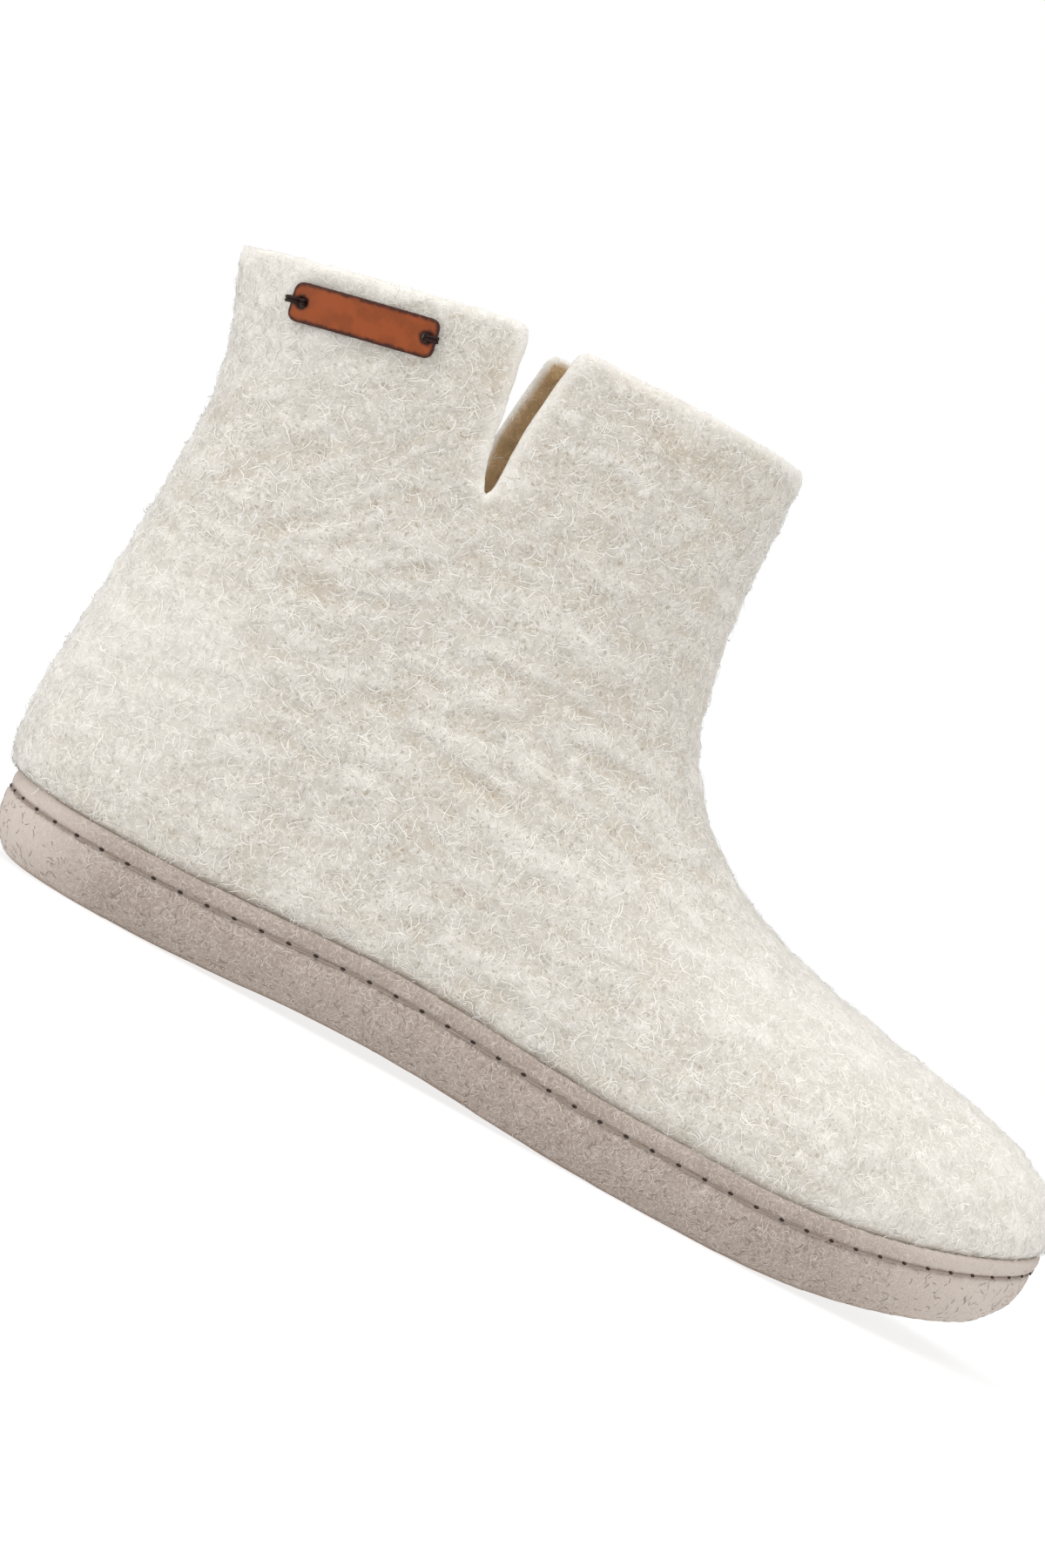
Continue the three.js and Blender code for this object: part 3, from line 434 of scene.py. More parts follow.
def facing_out(piece):
    """Turns the faces of a closed piece outwards."""
    form = bmesh.new()
    form.from_mesh(piece.data)
    if form.calc_volume(signed=True) < 0:
        bmesh.ops.reverse_faces(form, faces=form.faces)
        form.to_mesh(piece.data)
    form.free()


def finish_piece(piece, slot, material, *nodes):
    """Gives a piece its finish and its body, and hides the CAD nodes that it stands for."""
    piece.data.materials.clear()
    piece.data.materials.append(material)
    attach(piece, "root")
    if nodes:
        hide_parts(*nodes)


def strands(name, paths, radius, thins=True, sides=3, closed=False):
    """One mesh of thin strands along paths, each an array of points."""
    ring = bpy.data.curves.new(name + "_section", "CURVE")
    loop = ring.splines.new("POLY")
    loop.points.add(sides - 1)
    for index, point in enumerate(loop.points):
        angle = 2 * math.pi * index / sides
        point.co = (radius * math.cos(angle), radius * math.sin(angle), 0, 1)
    loop.use_cyclic_u = True
    section = placed(name + "_section", ring)
    curve = bpy.data.curves.new(name, "CURVE")
    curve.dimensions = "3D"
    curve.bevel_mode = "OBJECT"
    curve.bevel_object = section
    curve.use_fill_caps = True
    for path in paths:
        spline = curve.splines.new("POLY")
        spline.points.add(len(path) - 1)
        spline.points.foreach_set("co", np.column_stack([path, np.ones(len(path))]).ravel())
        if thins:
            share = np.linspace(-1, 1, len(path))
            spline.points.foreach_set("radius", 1 - 0.65 * share ** 4)
        spline.use_cyclic_u = closed
    piece = settle(placed(name, curve))
    bpy.data.objects.remove(section)
    facing_out(piece)
    return piece


# Materials

class Finish:
    """A material whose nodes are added one by one."""

    def __init__(self, name, roughness, specular=0.5):
        self.material = bpy.data.materials.new(name)
        self.material.use_nodes = True
        self.tree = self.material.node_tree
        self.shader = self.tree.nodes["Principled BSDF"]
        self.shader.inputs["Roughness"].default_value = roughness
        self.shader.inputs["Specular IOR Level"].default_value = specular

    def add(self, kind, inputs=None, **settings):
        node = self.tree.nodes.new(kind)
        for key, value in settings.items():
            setattr(node, key, value)
        for socket, value in (inputs or {}).items():
            self.give(node.inputs[socket], value)
        return node

    def give(self, socket, value):
        if isinstance(value, bpy.types.NodeSocket):
            self.tree.links.new(value, socket)
        elif socket.type == "RGBA" and len(value) == 3:
            socket.default_value = (*value, 1)
        else:
            socket.default_value = value

    def places(self):
        """The surface's place in millimetres."""
        coordinates = self.add("ShaderNodeTexCoord")
        mapping = self.add("ShaderNodeMapping", {"Vector": coordinates.outputs["Object"]})
        mapping.inputs["Scale"].default_value = (1 / MM,) * 3
        return mapping.outputs["Vector"]

    def noise(self, places, scale, detail=2.0, rough=0.55):
        node = self.add("ShaderNodeTexNoise", {
            "Vector": places, "Scale": scale, "Detail": detail, "Roughness": rough})
        return node

    def warped(self, places, scale, reach):
        """Places pushed about by a noise, up to a reach in millimetres."""
        push = self.noise(places, scale).outputs["Color"]
        centred = self.add("ShaderNodeVectorMath", {0: push, 1: (0.5,) * 3}, operation="SUBTRACT")
        scaled = self.add("ShaderNodeVectorMath", {0: centred.outputs[0]}, operation="SCALE")
        scaled.inputs["Scale"].default_value = reach * 2
        moved = self.add("ShaderNodeVectorMath", {0: places, 1: scaled.outputs[0]}, operation="ADD")
        return moved.outputs[0]

    def web(self, places, scale, thickness):
        """Broken thin lines round cells: up to 1 on a line, 0 between lines."""
        cells = self.add(
            "ShaderNodeTexVoronoi", {"Vector": places, "Scale": scale}, feature="DISTANCE_TO_EDGE")
        line = self.ramp(cells.outputs["Distance"], (0, 1), (thickness, 0))
        breaks = self.noise(places, scale * 1.4).outputs["Fac"]
        return self.times(line, self.ramp(breaks, (0.4, 0), (0.58, 1)))

    def ramp(self, value, *stops):
        node = self.add("ShaderNodeMapRange", {
            "Value": value, "From Min": stops[0][0], "From Max": stops[1][0],
            "To Min": stops[0][1], "To Max": stops[1][1]}, interpolation_type="SMOOTHSTEP")
        return node.outputs["Result"]

    def math(self, operation, first, second):
        return self.add("ShaderNodeMath", {0: first, 1: second}, operation=operation).outputs[0]

    def times(self, first, second):
        return self.math("MULTIPLY", first, second)

    def stored(self, name):
        """A number that the mesh keeps for each vertex."""
        return self.add("ShaderNodeAttribute", attribute_name=name).outputs["Fac"]

    def shifted(self, places, offset):
        return self.add("ShaderNodeMapping", {"Vector": places, "Location": offset}).outputs["Vector"]

    def mix(self, share, first, second, blend="MIX"):
        return self.add("ShaderNodeMixRGB", {
            "Fac": share, "Color1": first, "Color2": second}, blend_type=blend).outputs["Color"]

    def near(self, places, middle, reach):
        """1 at a point, falling to 0 at a reach that may differ on each axis, all in millimetres."""
        offset = self.add("ShaderNodeVectorMath", {0: places, 1: middle}, operation="SUBTRACT")
        shares = self.add("ShaderNodeVectorMath", {0: offset.outputs[0], 1: reach}, operation="DIVIDE")
        distance = self.add("ShaderNodeVectorMath", {0: shares.outputs[0]}, operation="LENGTH")
        return self.ramp(distance.outputs["Value"], (0, 1), (1, 0))

    def bump(self, height, strength, reach):
        node = self.add("ShaderNodeBump", {"Height": height, "Strength": strength, "Distance": reach})
        self.tree.links.new(node.outputs["Normal"], self.shader.inputs["Normal"])

    def colour(self, value):
        self.give(self.shader.inputs["Base Color"], value)

    def glow(self, strength):
        self.shader.inputs["Emission Color"].default_value = (1, 1, 1, 1)
        self.shader.inputs["Emission Strength"].default_value = strength


def darker(colour, share):
    return tuple(value * share for value in colour)


def beige_share(finish, places):
    """How beige the wool is: along soft level bands, and most in the patches."""
    bands = finish.add("ShaderNodeMapping", {"Vector": places, "Scale": (0.07, 0.07, 0.2)})
    streaks = finish.noise(bands.outputs["Vector"], 1, 3, 0.6).outputs["Fac"]
    beige = finish.times(finish.ramp(streaks, (0.46, 0), (0.72, 1)), 0.35)
    return patched(finish, places, BEIGE_PATCHES, beige, HEIGHT / 4)


def patched(finish, places, patches, share, depth):
    """A share raised to 1 in soft patches, which reach a depth into the boot from its outer side."""
    for patch in patches:
        middle = (
            (HEEL_BACK + patch["along"] * LENGTH) / MM,
            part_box("upper")[0].y / MM,
            patch["up"] * HEIGHT / MM,
        )
        reach = (patch["wide"] * LENGTH / MM, depth / MM, patch["high"] * HEIGHT / MM)
        share = finish.math("MAXIMUM", share, finish.near(places, middle, reach))
    return share


def felt_finish(settings):
    """Felt: light fibres over a greyer ground, with beige bands and small hollows, painted shade in the
    hollows, the troughs, along the foot at the rand and inside, and painted light on the ridges, the rims
    and the lit patches.
    """
    finish = Finish("felt", 0.95, 0.1)
    places = finish.places()
    loose = finish.warped(places, 0.45, 1.6)
    curly = finish.warped(loose, 1.4, 0.35)
    others = finish.shifted(curly, (3.1, 1.7, 5.3))
    fibres = finish.math("MAXIMUM", finish.web(curly, 0.4, 0.05), finish.web(others, 0.55, 0.07))
    clouds = finish.noise(loose, 0.28, 3, 0.6).outputs["Fac"]
    hollows = finish.noise(curly, 1.3, 1, 0.5).outputs["Fac"]
    pits = finish.ramp(hollows, (0.57, 0), (0.7, 1))
    beige = beige_share(finish, places)
    # Painted light: the wool is whiter in the lit patches, where the light falls fullest, with less beige
    # and fewer dark hollows there
    pale = patched(finish, places, LIT_WOOL_PATCHES, 0.0, LENGTH)
    ground = finish.mix(finish.times(pale, 0.24), settings.cream, settings.white)
    ground = finish.mix(finish.ramp(clouds, (0.4, 0), (0.65, 0.23)), ground, settings.white)
    # Painted light and shade on the relief: the ridges are whiter and the troughs beige and darker
    ridge = finish.stored("ridge")
    ground = finish.mix(finish.ramp(ridge, (0.05, 0), (0.6, 0.28)), ground, settings.white)
    beige = finish.math("MAXIMUM", beige, finish.ramp(ridge, (-0.6, 0.5), (-0.05, 0)))
    beige_and_trough_shade = finish.times(beige, finish.ramp(pale, (0, 0.85), (0.8, 0.12)))
    ground = finish.mix(beige_and_trough_shade, ground, settings.beige)
    # The small hollows, pressed in by the bump, are painted darker as their shade, less in the lit patches
    dark = finish.times(pits, finish.ramp(pale, (0, 0.6), (1, 0.25)))
    ground = finish.mix(dark, ground, settings.pit)
    outside = finish.mix(finish.times(fibres, 0.65), ground, settings.white)
    # Painted highlight: the rounded rims of the collar and the slits are whiter, as where they catch the
    # light
    outside = finish.mix(finish.times(finish.stored("rim"), 0.45), outside, settings.white)
    # The felt's foot along the rand is painted darker, as the shadow that falls there
    outside = finish.mix(finish.times(finish.stored("foot"), 0.6), outside, settings.foot_shade)
    # Painted shade: the felt that faces the foot is multiplied by the inside tint
    finish.colour(finish.mix(finish.stored("inside"), outside, settings.inside, "MULTIPLY"))
    finish.bump(finish.math("SUBTRACT", finish.math("ADD", clouds, fibres), pits), 0.14, 0.4 * MM)
    finish.shader.inputs["Sheen Weight"].default_value = 0.5
    finish.shader.inputs["Sheen Roughness"].default_value = 0.4
    return finish.material


def fibre_finish(settings, name, share):
    """Loose wool fibres, from white at 0 to cream at 1."""
    finish = Finish(name, 0.9, 0.1)
    mottle = finish.noise(finish.places(), 0.35).outputs["Fac"]
    tone = finish.mix(share, settings.white, settings.cream)
    finish.colour(finish.mix(finish.ramp(mottle, (0.45, 0), (0.7, 0.6)), tone, settings.cream))
    return finish.material


def suede_finish(settings):
    """Suede: a short curly nap that lies in small whorls, with painted shade in its furrows, painted light
    at the toe and heel, and darker where it faces down under the tread.
    """
    finish = Finish("suede", 0.95, 0.1)
    places = finish.places()
    loose = finish.warped(places, 0.4, 1.3)
    curly = finish.warped(loose, 1.5, 0.4)
    lines = finish.web(curly, 0.95, 0.14)
    furrows = finish.web(finish.shifted(curly, (2.3, 4.1, 1.9)), 0.9, 0.14)
    grain = finish.noise(curly, 1.5, 2, 0.6).outputs["Fac"]
    brushed = finish.noise(places, 0.1, 3, 0.6).outputs["Fac"]
    tone = finish.mix(finish.ramp(brushed, (0.35, 0), (0.7, 0.6)), settings.suede, settings.shaded)
    # Painted shade: dark specks, and the furrows that the bump presses in, as shade between the nap's fibres
    tone = finish.mix(finish.ramp(grain, (0.5, 0), (0.68, 0.6)), tone, settings.furrow)
    tone = finish.mix(finish.times(furrows, 0.5), tone, settings.furrow)
    tone = finish.mix(finish.times(lines, 0.6), tone, settings.raised)
    # Painted light: the suede is lighter at the toe and the heel, where the light falls fullest
    light = patched(finish, places, LIT_SUEDE_PATCHES, 0.0, LENGTH)
    tone = finish.mix(finish.times(light, 0.8), tone, settings.raised)
    # Darker where the suede faces down, under the tread
    finish.colour(finish.mix(finish.stored("tread"), tone, settings.tread, "MULTIPLY"))
    finish.bump(finish.math("SUBTRACT", lines, furrows), 0.2, 0.3 * MM)
    return finish.material


def leather_finish(settings):
    """Smooth tanned leather with fine grain and burnt edges."""
    finish = Finish("tag_leather", 0.5, 0.25)
    places = finish.places()
    cloudy = finish.noise(places, 0.22, 3).outputs["Fac"]
    grain = finish.add("ShaderNodeTexVoronoi", {
        "Vector": finish.warped(places, 1.2, 0.3), "Scale": 2.4}, feature="DISTANCE_TO_EDGE")
    lines = finish.ramp(grain.outputs["Distance"], (0, 0), (0.2, 1))
    deep = darker(settings.leather, 0.72)
    tone = finish.mix(finish.ramp(cloudy, (0.4, 0), (0.62, 0.7)), settings.leather, deep)
    uneven = finish.ramp(finish.noise(places, 0.6, 2).outputs["Fac"], (0.3, 0.8), (0.7, 1.2))
    burnt = finish.times(finish.stored("edge"), uneven)
    finish.colour(finish.mix(finish.ramp(burnt, (0.15, 0), (0.6, 1)), tone, settings.burnt))
    finish.bump(lines, 0.25, 0.08 * MM)
    return finish.material


def cord_finish(settings):
    """Dark waxed cord with a fine twist."""
    finish = Finish("waxed_cord", 0.55, 0.2)
    places = finish.places()
    twist = finish.add("ShaderNodeTexWave", {
        "Vector": places, "Scale": 1.1, "Distortion": 1.5, "Detail": 2.0}, bands_direction="DIAGONAL")
    finish.colour(finish.mix(twist.outputs["Fac"], darker(settings.cord, 0.5), settings.cord))
    finish.bump(twist.outputs["Fac"], 0.5, 0.12 * MM)
    return finish.material


def plain_finish(name, colour, roughness, speckle):
    """A finish of one colour with a light speckle."""
    finish = Finish(name, roughness)
    grain = finish.noise(finish.places(), 2.5, 3).outputs["Fac"]
    finish.colour(finish.mix(finish.ramp(grain, (0.4, 0), (0.7, 1)), colour, darker(colour, speckle)))
    finish.bump(grain, 0.3, 0.1 * MM)
    return finish.material


# The boot's pieces

def laid_on(piece, tree):
    """Flattens three-sided strands onto the surface that they lie on and lights them as that surface,
    because wool lets light through."""
    rings = points_of(piece).reshape(-1, 3, 3)
    middles = rings.mean(axis=1, keepdims=True)
    normals = np.array([tree.find_nearest(Vector(middle))[1] for middle in middles[:, 0]])[:, None]
    offsets = rings - middles
    offsets -= 0.75 * normals * (offsets * normals).sum(axis=2, keepdims=True)
    move_vertices(piece.data, (middles + offsets).reshape(-1, 3))
    piece.data.normals_split_custom_set_from_vertices(np.repeat(normals, 3, axis=1).reshape(-1, 3))
    piece.visible_shadow = False


def shares_of(points):
    """Places along and up the boot as shares of its length and height."""
    return (points[:, 0] - HEEL_BACK) / LENGTH, points[:, 2] / HEIGHT


def lifts(points):
    """How far the sole's underside lies above the floor below each point."""
    return np.array([sole_lift(share) for share in shares_of(points)[0]])


def rise_over_seam(points):
    """Height of points over the seam between the sole's side and the rand."""
    return points[:, 2] - RAND_FOOT - lifts(points)


def close_seam(side, rand):
    """Brings the sole's side out to the rand and the rand down to it, so that only a fine groove is left."""
    for piece, out, down in ((side, SEAM_CLOSED["out"], 0), (rand, 0, SEAM_CLOSED["down"])):
        points = points_of(piece)
        normals = normals_of(piece)
        rise = np.abs(rise_over_seam(points))
        near = 1 - smoothstep(rise, *SEAM_CLOSED["fades"])
        outward = normals * (1, 1, 0) * (np.abs(normals[:, 2]) < 0.9)[:, None]
        lowered = points + outward * (near * out)[:, None] - np.outer(near * down, (0, 0, 1))
        move_vertices(piece.data, lowered)


def sole_lift(along):
    """How far the sole's underside lies above the floor, at a share of its length."""
    along = min(1, max(0, along))
    span = min(1, max(0, (along - HEEL_FLAT_END) / (FOREFOOT_FLAT[0] - HEEL_FLAT_END)))
    toe = max(0, (along - FOREFOOT_FLAT[1]) / (1 - FOREFOOT_FLAT[1]))
    return ARCH_RISE * math.sin(math.pi * span) ** 2 + TOE_SPRING * toe ** 2


def outwardness(points, normals):
    """1 where the felt faces out of the boot, -1 where it faces the foot."""
    along, up = shares_of(points)
    ankle = smoothstep(up, *HOLLOW["ankle"])
    middle_along = ankle * HOLLOW["shaft"] + (1 - ankle) * np.clip(along, *HOLLOW["foot"])
    middle = np.column_stack([
        HEEL_BACK + middle_along * LENGTH,
        (1 - ankle) * points[:, 1] * HOLLOW["foot_side"],
        points[:, 2] * ankle + (1 - ankle) * HEIGHT * HOLLOW["foot_up"],
    ])
    away = points - middle
    away /= np.linalg.norm(away, axis=1)[:, None] + 1e-9
    return np.einsum("ij,ij->i", away, normals)


def crease_heights(points):
    """Height of the listed troughs and ridges at each point, in metres."""
    along, up = shares_of(points)
    outer = points[:, 1] < 0
    heights = np.zeros(len(points))
    for crease in CREASES:
        slope = math.radians(crease["slope"])
        width = crease["width"] * FELT_THICKNESS
        half = crease["length"] * LENGTH / 2
        for mask, turn, shift in ((outer, 1, 0.0), (~outer, -1, INNER_SHIFT)):
            right = (along - crease["along"] - shift) * LENGTH
            rise = (up - crease["up"] + shift) * HEIGHT
            run = (right * math.cos(slope) + turn * rise * math.sin(slope)) / half
            off = (rise * math.cos(slope) - turn * right * math.sin(slope)) / width
            ends = np.clip(1.15 - run ** 2, 0, 1) ** 1.5
            bowl = (1 - 0.55 * off ** 2) * np.exp(-0.6 * off ** 2)
            heights -= mask * ends * bowl * crease["depth"] * FELT_THICKNESS
    return heights * smoothstep(np.abs(points[:, 1]), 0, HEIGHT / 10)


def fulled_heights(points, settings):
    """Height of the ridges and lumps that fulling leaves all over, in metres."""
    along, up = shares_of(points)
    before = HEEL_RIDGES["before"]
    lean = smoothstep(before - along, 0, HEEL_RIDGES["over"]) * smoothstep(up, *HEEL_RIDGES["rises"])
    rise = points[:, 2] - lean * HEEL_RIDGES["slope"] * (points[:, 0] - HEEL_BACK - before * LENGTH)
    heights = np.empty(len(points))
    for index, (x, y, _) in enumerate(points):
        level = rise[index] / settings.ridge_spacing
        ridge = Vector((x / settings.ridge_length, y / settings.ridge_length, level))
        lump = Vector((x, y, rise[index])) / (2.6 * settings.grain)
        heights[index] = settings.relief * noise.noise(ridge) + settings.lumps * noise.noise(lump)
    return heights


def rim_share(piece):
    """1 on the cut edges of the collar and the slits, falling to 0 a felt's thickness away."""
    points = points_of(piece)
    facing = outwardness(points, normals_of(piece))
    edge = (np.abs(facing) < 0.45) & (points[:, 2] > 0.6 * HEIGHT)
    found = KDTree(int(edge.sum()))
    for number, point in enumerate(points[edge]):
        found.insert(point, number)
    found.balance()
    away = np.array([found.find(point)[2] for point in points])
    return 1 - smoothstep(away, 0.25 * FELT_THICKNESS, FELT_THICKNESS)


def round_rims(piece):
    """Rounds the collar's rim and the slits' edges until no corner is left, least at the slits' feet."""
    rim = piece.vertex_groups.new(name="rim")
    over_foot = points_of(piece)[:, 2] - SLIT_FOOT["up"] * HEIGHT
    weights = rim_share(piece) * (0.2 + 0.8 * smoothstep(over_foot, 0, 12 * MM))
    for index, weight in enumerate(weights):
        if weight > 0:
            rim.add([index], weight, "REPLACE")
    smoothed(piece, 14, "rim")
    piece.vertex_groups.clear()


def draw_slits(piece):
    """Draws the slits' feet down and nearly shut, and their front edges back, as fulling does."""
    points = points_of(piece)
    right = points[:, 0] - (HEEL_BACK + SLIT_FOOT["along"] * LENGTH)
    rise = points[:, 2] - SLIT_FOOT["up"] * HEIGHT
    away = np.hypot(right, rise)
    drawn = 1 - smoothstep(away, 0, SLIT_DRAWN["reach"])
    shut = SLIT_DRAWN["shut"] * (1 - smoothstep(away, 0, SLIT_DRAWN["shut_reach"]))
    front = smoothstep(right, *SLIT_DRAWN["starts"]) * (1 - smoothstep(right, *SLIT_DRAWN["fades"]))
    lost = SLIT_DRAWN["lost"] * smoothstep(rise, *SLIT_DRAWN["falls"])
    level = smoothstep(rise, *SLIT_DRAWN["rises"]) * (1 - lost)
    points[:, 0] -= shut * right + front * level * SLIT_DRAWN["front"]
    points[:, 2] -= drawn * SLIT_DRAWN["down"]
    move_vertices(piece.data, points)


def shape_felt(piece, settings):
    """Gives the felt its creases, ridges and lumps, and marks its rim and its inside."""
    mesh = piece.data
    points = points_of(piece)
    normals = normals_of(piece)
    facing = outwardness(points, normals)
    rim = rim_share(piece)
    away = np.sign(facing) * np.minimum(1, np.abs(facing) * 2)
    heights = crease_heights(points) + fulled_heights(points, settings)
    rise = rise_over_seam(points)
    free = smoothstep(rise, *RIDGES_FROM)
    swell = SWELL["height"] * smoothstep(rise, *SWELL["rises"]) * (1 - smoothstep(rise, *SWELL["falls"]))
    moved = away * heights * free * (1 - 0.6 * rim) + swell * np.maximum(0, facing)
    move_vertices(mesh, points + normals * moved[:, None])
    store(mesh, "rim", rim)
    # Where the painted shadow along the felt's foot lies
    store(mesh, "foot", 1 - smoothstep(rise, *FOOT_SHADE_TO))
    store(mesh, "ridge", heights / settings.relief)
    # Where the inside's painted shade lies, fading out at the rims
    store(mesh, "inside", smoothstep(-facing, 0.1, 0.6) * (1 - smoothstep(rim, 0.7, 1)))


def starts_on(piece, weights, count, rng):
    """Random points on a piece, more of them where its vertices weigh more."""
    mesh = piece.data
    mesh.calc_loop_triangles()
    corners = np.empty(len(mesh.loop_triangles) * 3, dtype=np.int32)
    mesh.loop_triangles.foreach_get("vertices", corners)
    corners = corners.reshape(-1, 3)
    points = points_of(piece)
    a, b, c = (points[corners[:, i]] for i in range(3))
    weight = np.linalg.norm(np.cross(b - a, c - a), axis=1) * weights[corners].mean(axis=1)
    chosen = rng.choice(len(corners), count, p=weight / weight.sum())
    u, v = rng.random((2, count, 1))
    over = (u + v) > 1
    u, v = np.where(over, 1 - u, u), np.where(over, 1 - v, v)
    return a[chosen] + u * (b - a)[chosen] + v * (c - a)[chosen]


def curled_path(tree, start, steps, length, turn, bend, swing, lift, loose):
    """A curled path on a surface, with its first heading at a turn from level. It rises in its middle,
    or at its far end where it is loose."""
    step = length / steps
    place, normal, _, _ = tree.find_nearest(start)
    heading = Vector((0, 0, 1)).cross(normal)
    if heading.length < 0.1:
        heading = normal.orthogonal()
    heading.normalize()
    heading.rotate(Quaternion(normal, turn))
    path = []
    for index in range(steps + 1):
        share = index / steps
        arch = share ** 1.3 if loose else math.sin(math.pi * share)
        path.append(place + normal * (lift * arch - 0.04 * MM))
        heading.rotate(Quaternion(normal, (bend + swing * math.sin(6 * share)) * step))
        place, normal, _, _ = tree.find_nearest(place + heading * step)
        heading = (heading - normal * heading.dot(normal)).normalized()
    return np.array(path)


def wool_paths(piece, tree, settings, rng):
    """Curled fibres that lie on the outside of the felt."""
    points = points_of(piece)
    inside = stored(piece, "inside")
    rim = stored(piece, "rim")
    rims = KDTree(len(points))
    for index in np.flatnonzero(rim > 0.5):
        rims.insert(points[index], int(index))
    rims.balance()
    rise = rise_over_seam(points)
    low = 1 - smoothstep(rise, 5 * MM, 8 * MM)
    weights = (1 - inside) * (rise > FOOT_SHADE_TO[0]) * (1 - 0.4 * rim) * (1 + 1.5 * low)
    paths = []
    for start in starts_on(piece, weights, settings.fibres, rng):
        length = settings.fibre_length * rng.uniform(0.55, 1.4)
        bend = rng.choice((-1, 1)) * rng.uniform(0.08, 0.6) / MM
        swing = rng.uniform(-0.5, 0.5) / MM
        turn = rng.uniform(0, 2 * math.pi)
        lay = rng.normal(SHAFT_LAY["angle"], SHAFT_LAY["spread"])
        kind = rng.random()
        stand = next(row for row in FIBRE_LIFTS if kind < row["upto"])
        lift = rng.uniform(stand["low"], stand["high"]) * MM
        if start[2] > SHAFT_LAY["above"] * HEIGHT and turn < SHAFT_LAY["turn_under"]:
            turn = lay
            bend *= 0.55
        if rims.find(start)[2] < FELT_THICKNESS:
            lift *= 0.4
            length *= 0.7
        loose = kind >= LOOSE_FROM
        steps = STRAND_STEPS["fibre"]
        paths.append(curled_path(tree, Vector(start), steps, length, turn, bend, swing, lift, loose))
    return paths


def nap_paths(piece, tree, count, settings, rng):
    """Short curled fibres that lie on the suede's side."""
    normals = normals_of(piece)
    weights = (np.abs(normals[:, 2]) < 0.8).astype(float)
    paths = []
    for start in starts_on(piece, weights, count, rng):
        length = settings.nap_length * rng.uniform(0.5, 1.5)
        turn = rng.uniform(0, 2 * math.pi)
        bend = rng.choice((-1, 1)) * rng.uniform(0.1, 1.1) / MM
        lift = rng.uniform(0.08, 0.2) * MM
        steps = STRAND_STEPS["nap"]
        paths.append(curled_path(tree, Vector(start), steps, length, turn, bend, 0, lift, False))
    return paths


def seam_line(pitch):
    """Points with outward directions along the rand's foot, some to each stitch. The rand is first laid
    level. A ray at its middle finds its side, one from below its foot, and one just over the foot the
    place of the seam."""
    rand = merged_copy("seam_probe", "rand")
    places = points_of(rand)
    places[:, 2] -= lifts(places)
    move_vertices(rand.data, places)
    tree = tree_of(rand)
    bpy.data.objects.remove(rand)
    samples = []
    for angle in np.linspace(0, 2 * math.pi, SEAM_SAMPLES, endpoint=False):
        far = Vector((
            HEEL_BACK + LENGTH * (0.5 + 0.8 * math.cos(angle)),
            0.4 * LENGTH * math.sin(angle),
            RAND_FOOT + RAND_MIDDLE,
        ))
        middle = far.copy()
        middle.x = min(max(far.x, HEEL_BACK + 0.14 * LENGTH), HEEL_BACK + 0.82 * LENGTH)
        middle.y = 0
        inward = (middle - far).normalized()
        below = tree.ray_cast(far, inward)[0] + inward * MM
        below.z = 0
        foot = tree.ray_cast(below, Vector((0, 0, 1)))[0]
        far.z = foot.z + SEAM_OVER_FOOT
        samples.append(tree.ray_cast(far, inward)[0])
    line = np.array(samples + samples[:1])
    travelled = np.concatenate([[0], np.cumsum(np.linalg.norm(np.diff(line, axis=0), axis=1))])
    stitches = round(travelled[-1] / pitch)
    marks = np.linspace(0, travelled[-1], stitches * PARTS_TO_STITCH, endpoint=False)
    points = np.column_stack([np.interp(marks, travelled, line[:, i]) for i in range(3)])
    points[:, 2] += lifts(points)
    ahead = np.roll(points, -1, axis=0) - np.roll(points, 1, axis=0)
    outward = np.cross(ahead, (0, 0, 1))
    outward /= np.linalg.norm(outward, axis=1)[:, None]
    return points, outward


def tie_paths(node, outward, tag, settings):
    """Two strands side by side along a CAD tie's middle line, with both ends led into the felt."""
    points = points_of(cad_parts[node])
    centre = points.mean(axis=0)
    along = np.linalg.svd(points - centre, full_matrices=False)[2][0]
    reach = (points - centre) @ along
    edges = np.linspace(reach.min(), reach.max(), 10)
    middles = []
    for low, high in zip(edges, edges[1:]):
        near = (reach >= low) & (reach <= high)
        if near.any():
            middles.append(points[near].mean(axis=0))
    middles = np.array(middles)
    across = np.cross(along, outward)
    across /= np.linalg.norm(across)
    tag_middle = tag.mean(axis=0)
    tag_axis = np.linalg.svd(tag - tag_middle, full_matrices=False)[2][0]
    tag_end = np.abs((tag - tag_middle) @ tag_axis).max()
    away = np.abs((middles - tag_middle) @ tag_axis)
    order = np.argsort(away)
    middles = middles[order]
    middles = np.vstack([middles, 3 * middles[-1] - 2 * middles[-2]])
    away = np.abs((middles - tag_middle) @ tag_axis)
    marks = np.linspace(away[0], tag_end + TIE_PAST_TAG[node], 9)
    middles = np.column_stack([np.interp(marks, away, middles[:, i]) for i in range(3)])
    inward = outward * TIE_INTO_FELT
    line = np.vstack([middles[0] - inward, middles, middles[-1] - inward])
    return [line + across * side * settings.cord_radius * 0.95 for side in (-1, 1)]


class WOOLBOOT_OT_upper(Operator):
    """Felted wool upper with its soft creases and ridges"""
    bl_idname = "wool_boot.upper"
    bl_label = "Felt upper"

    def execute(self, context):
        settings = context.scene.wool_boot_felt
        piece = softened("felt_upper", settings.grain, 6, "upper")
        round_rims(piece)
        draw_slits(piece)
        shape_felt(piece, settings)
        finish_piece(piece, "felt", felt_finish(settings), "upper")
        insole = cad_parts["insole"]
        insole.data.materials.clear()
        # The insole is painted with the inside tint, as the shade inside the boot
        insole.data.materials.append(plain_finish("insole_felt", tuple(settings.inside), 0.95, 0.85))
        return {"FINISHED"}


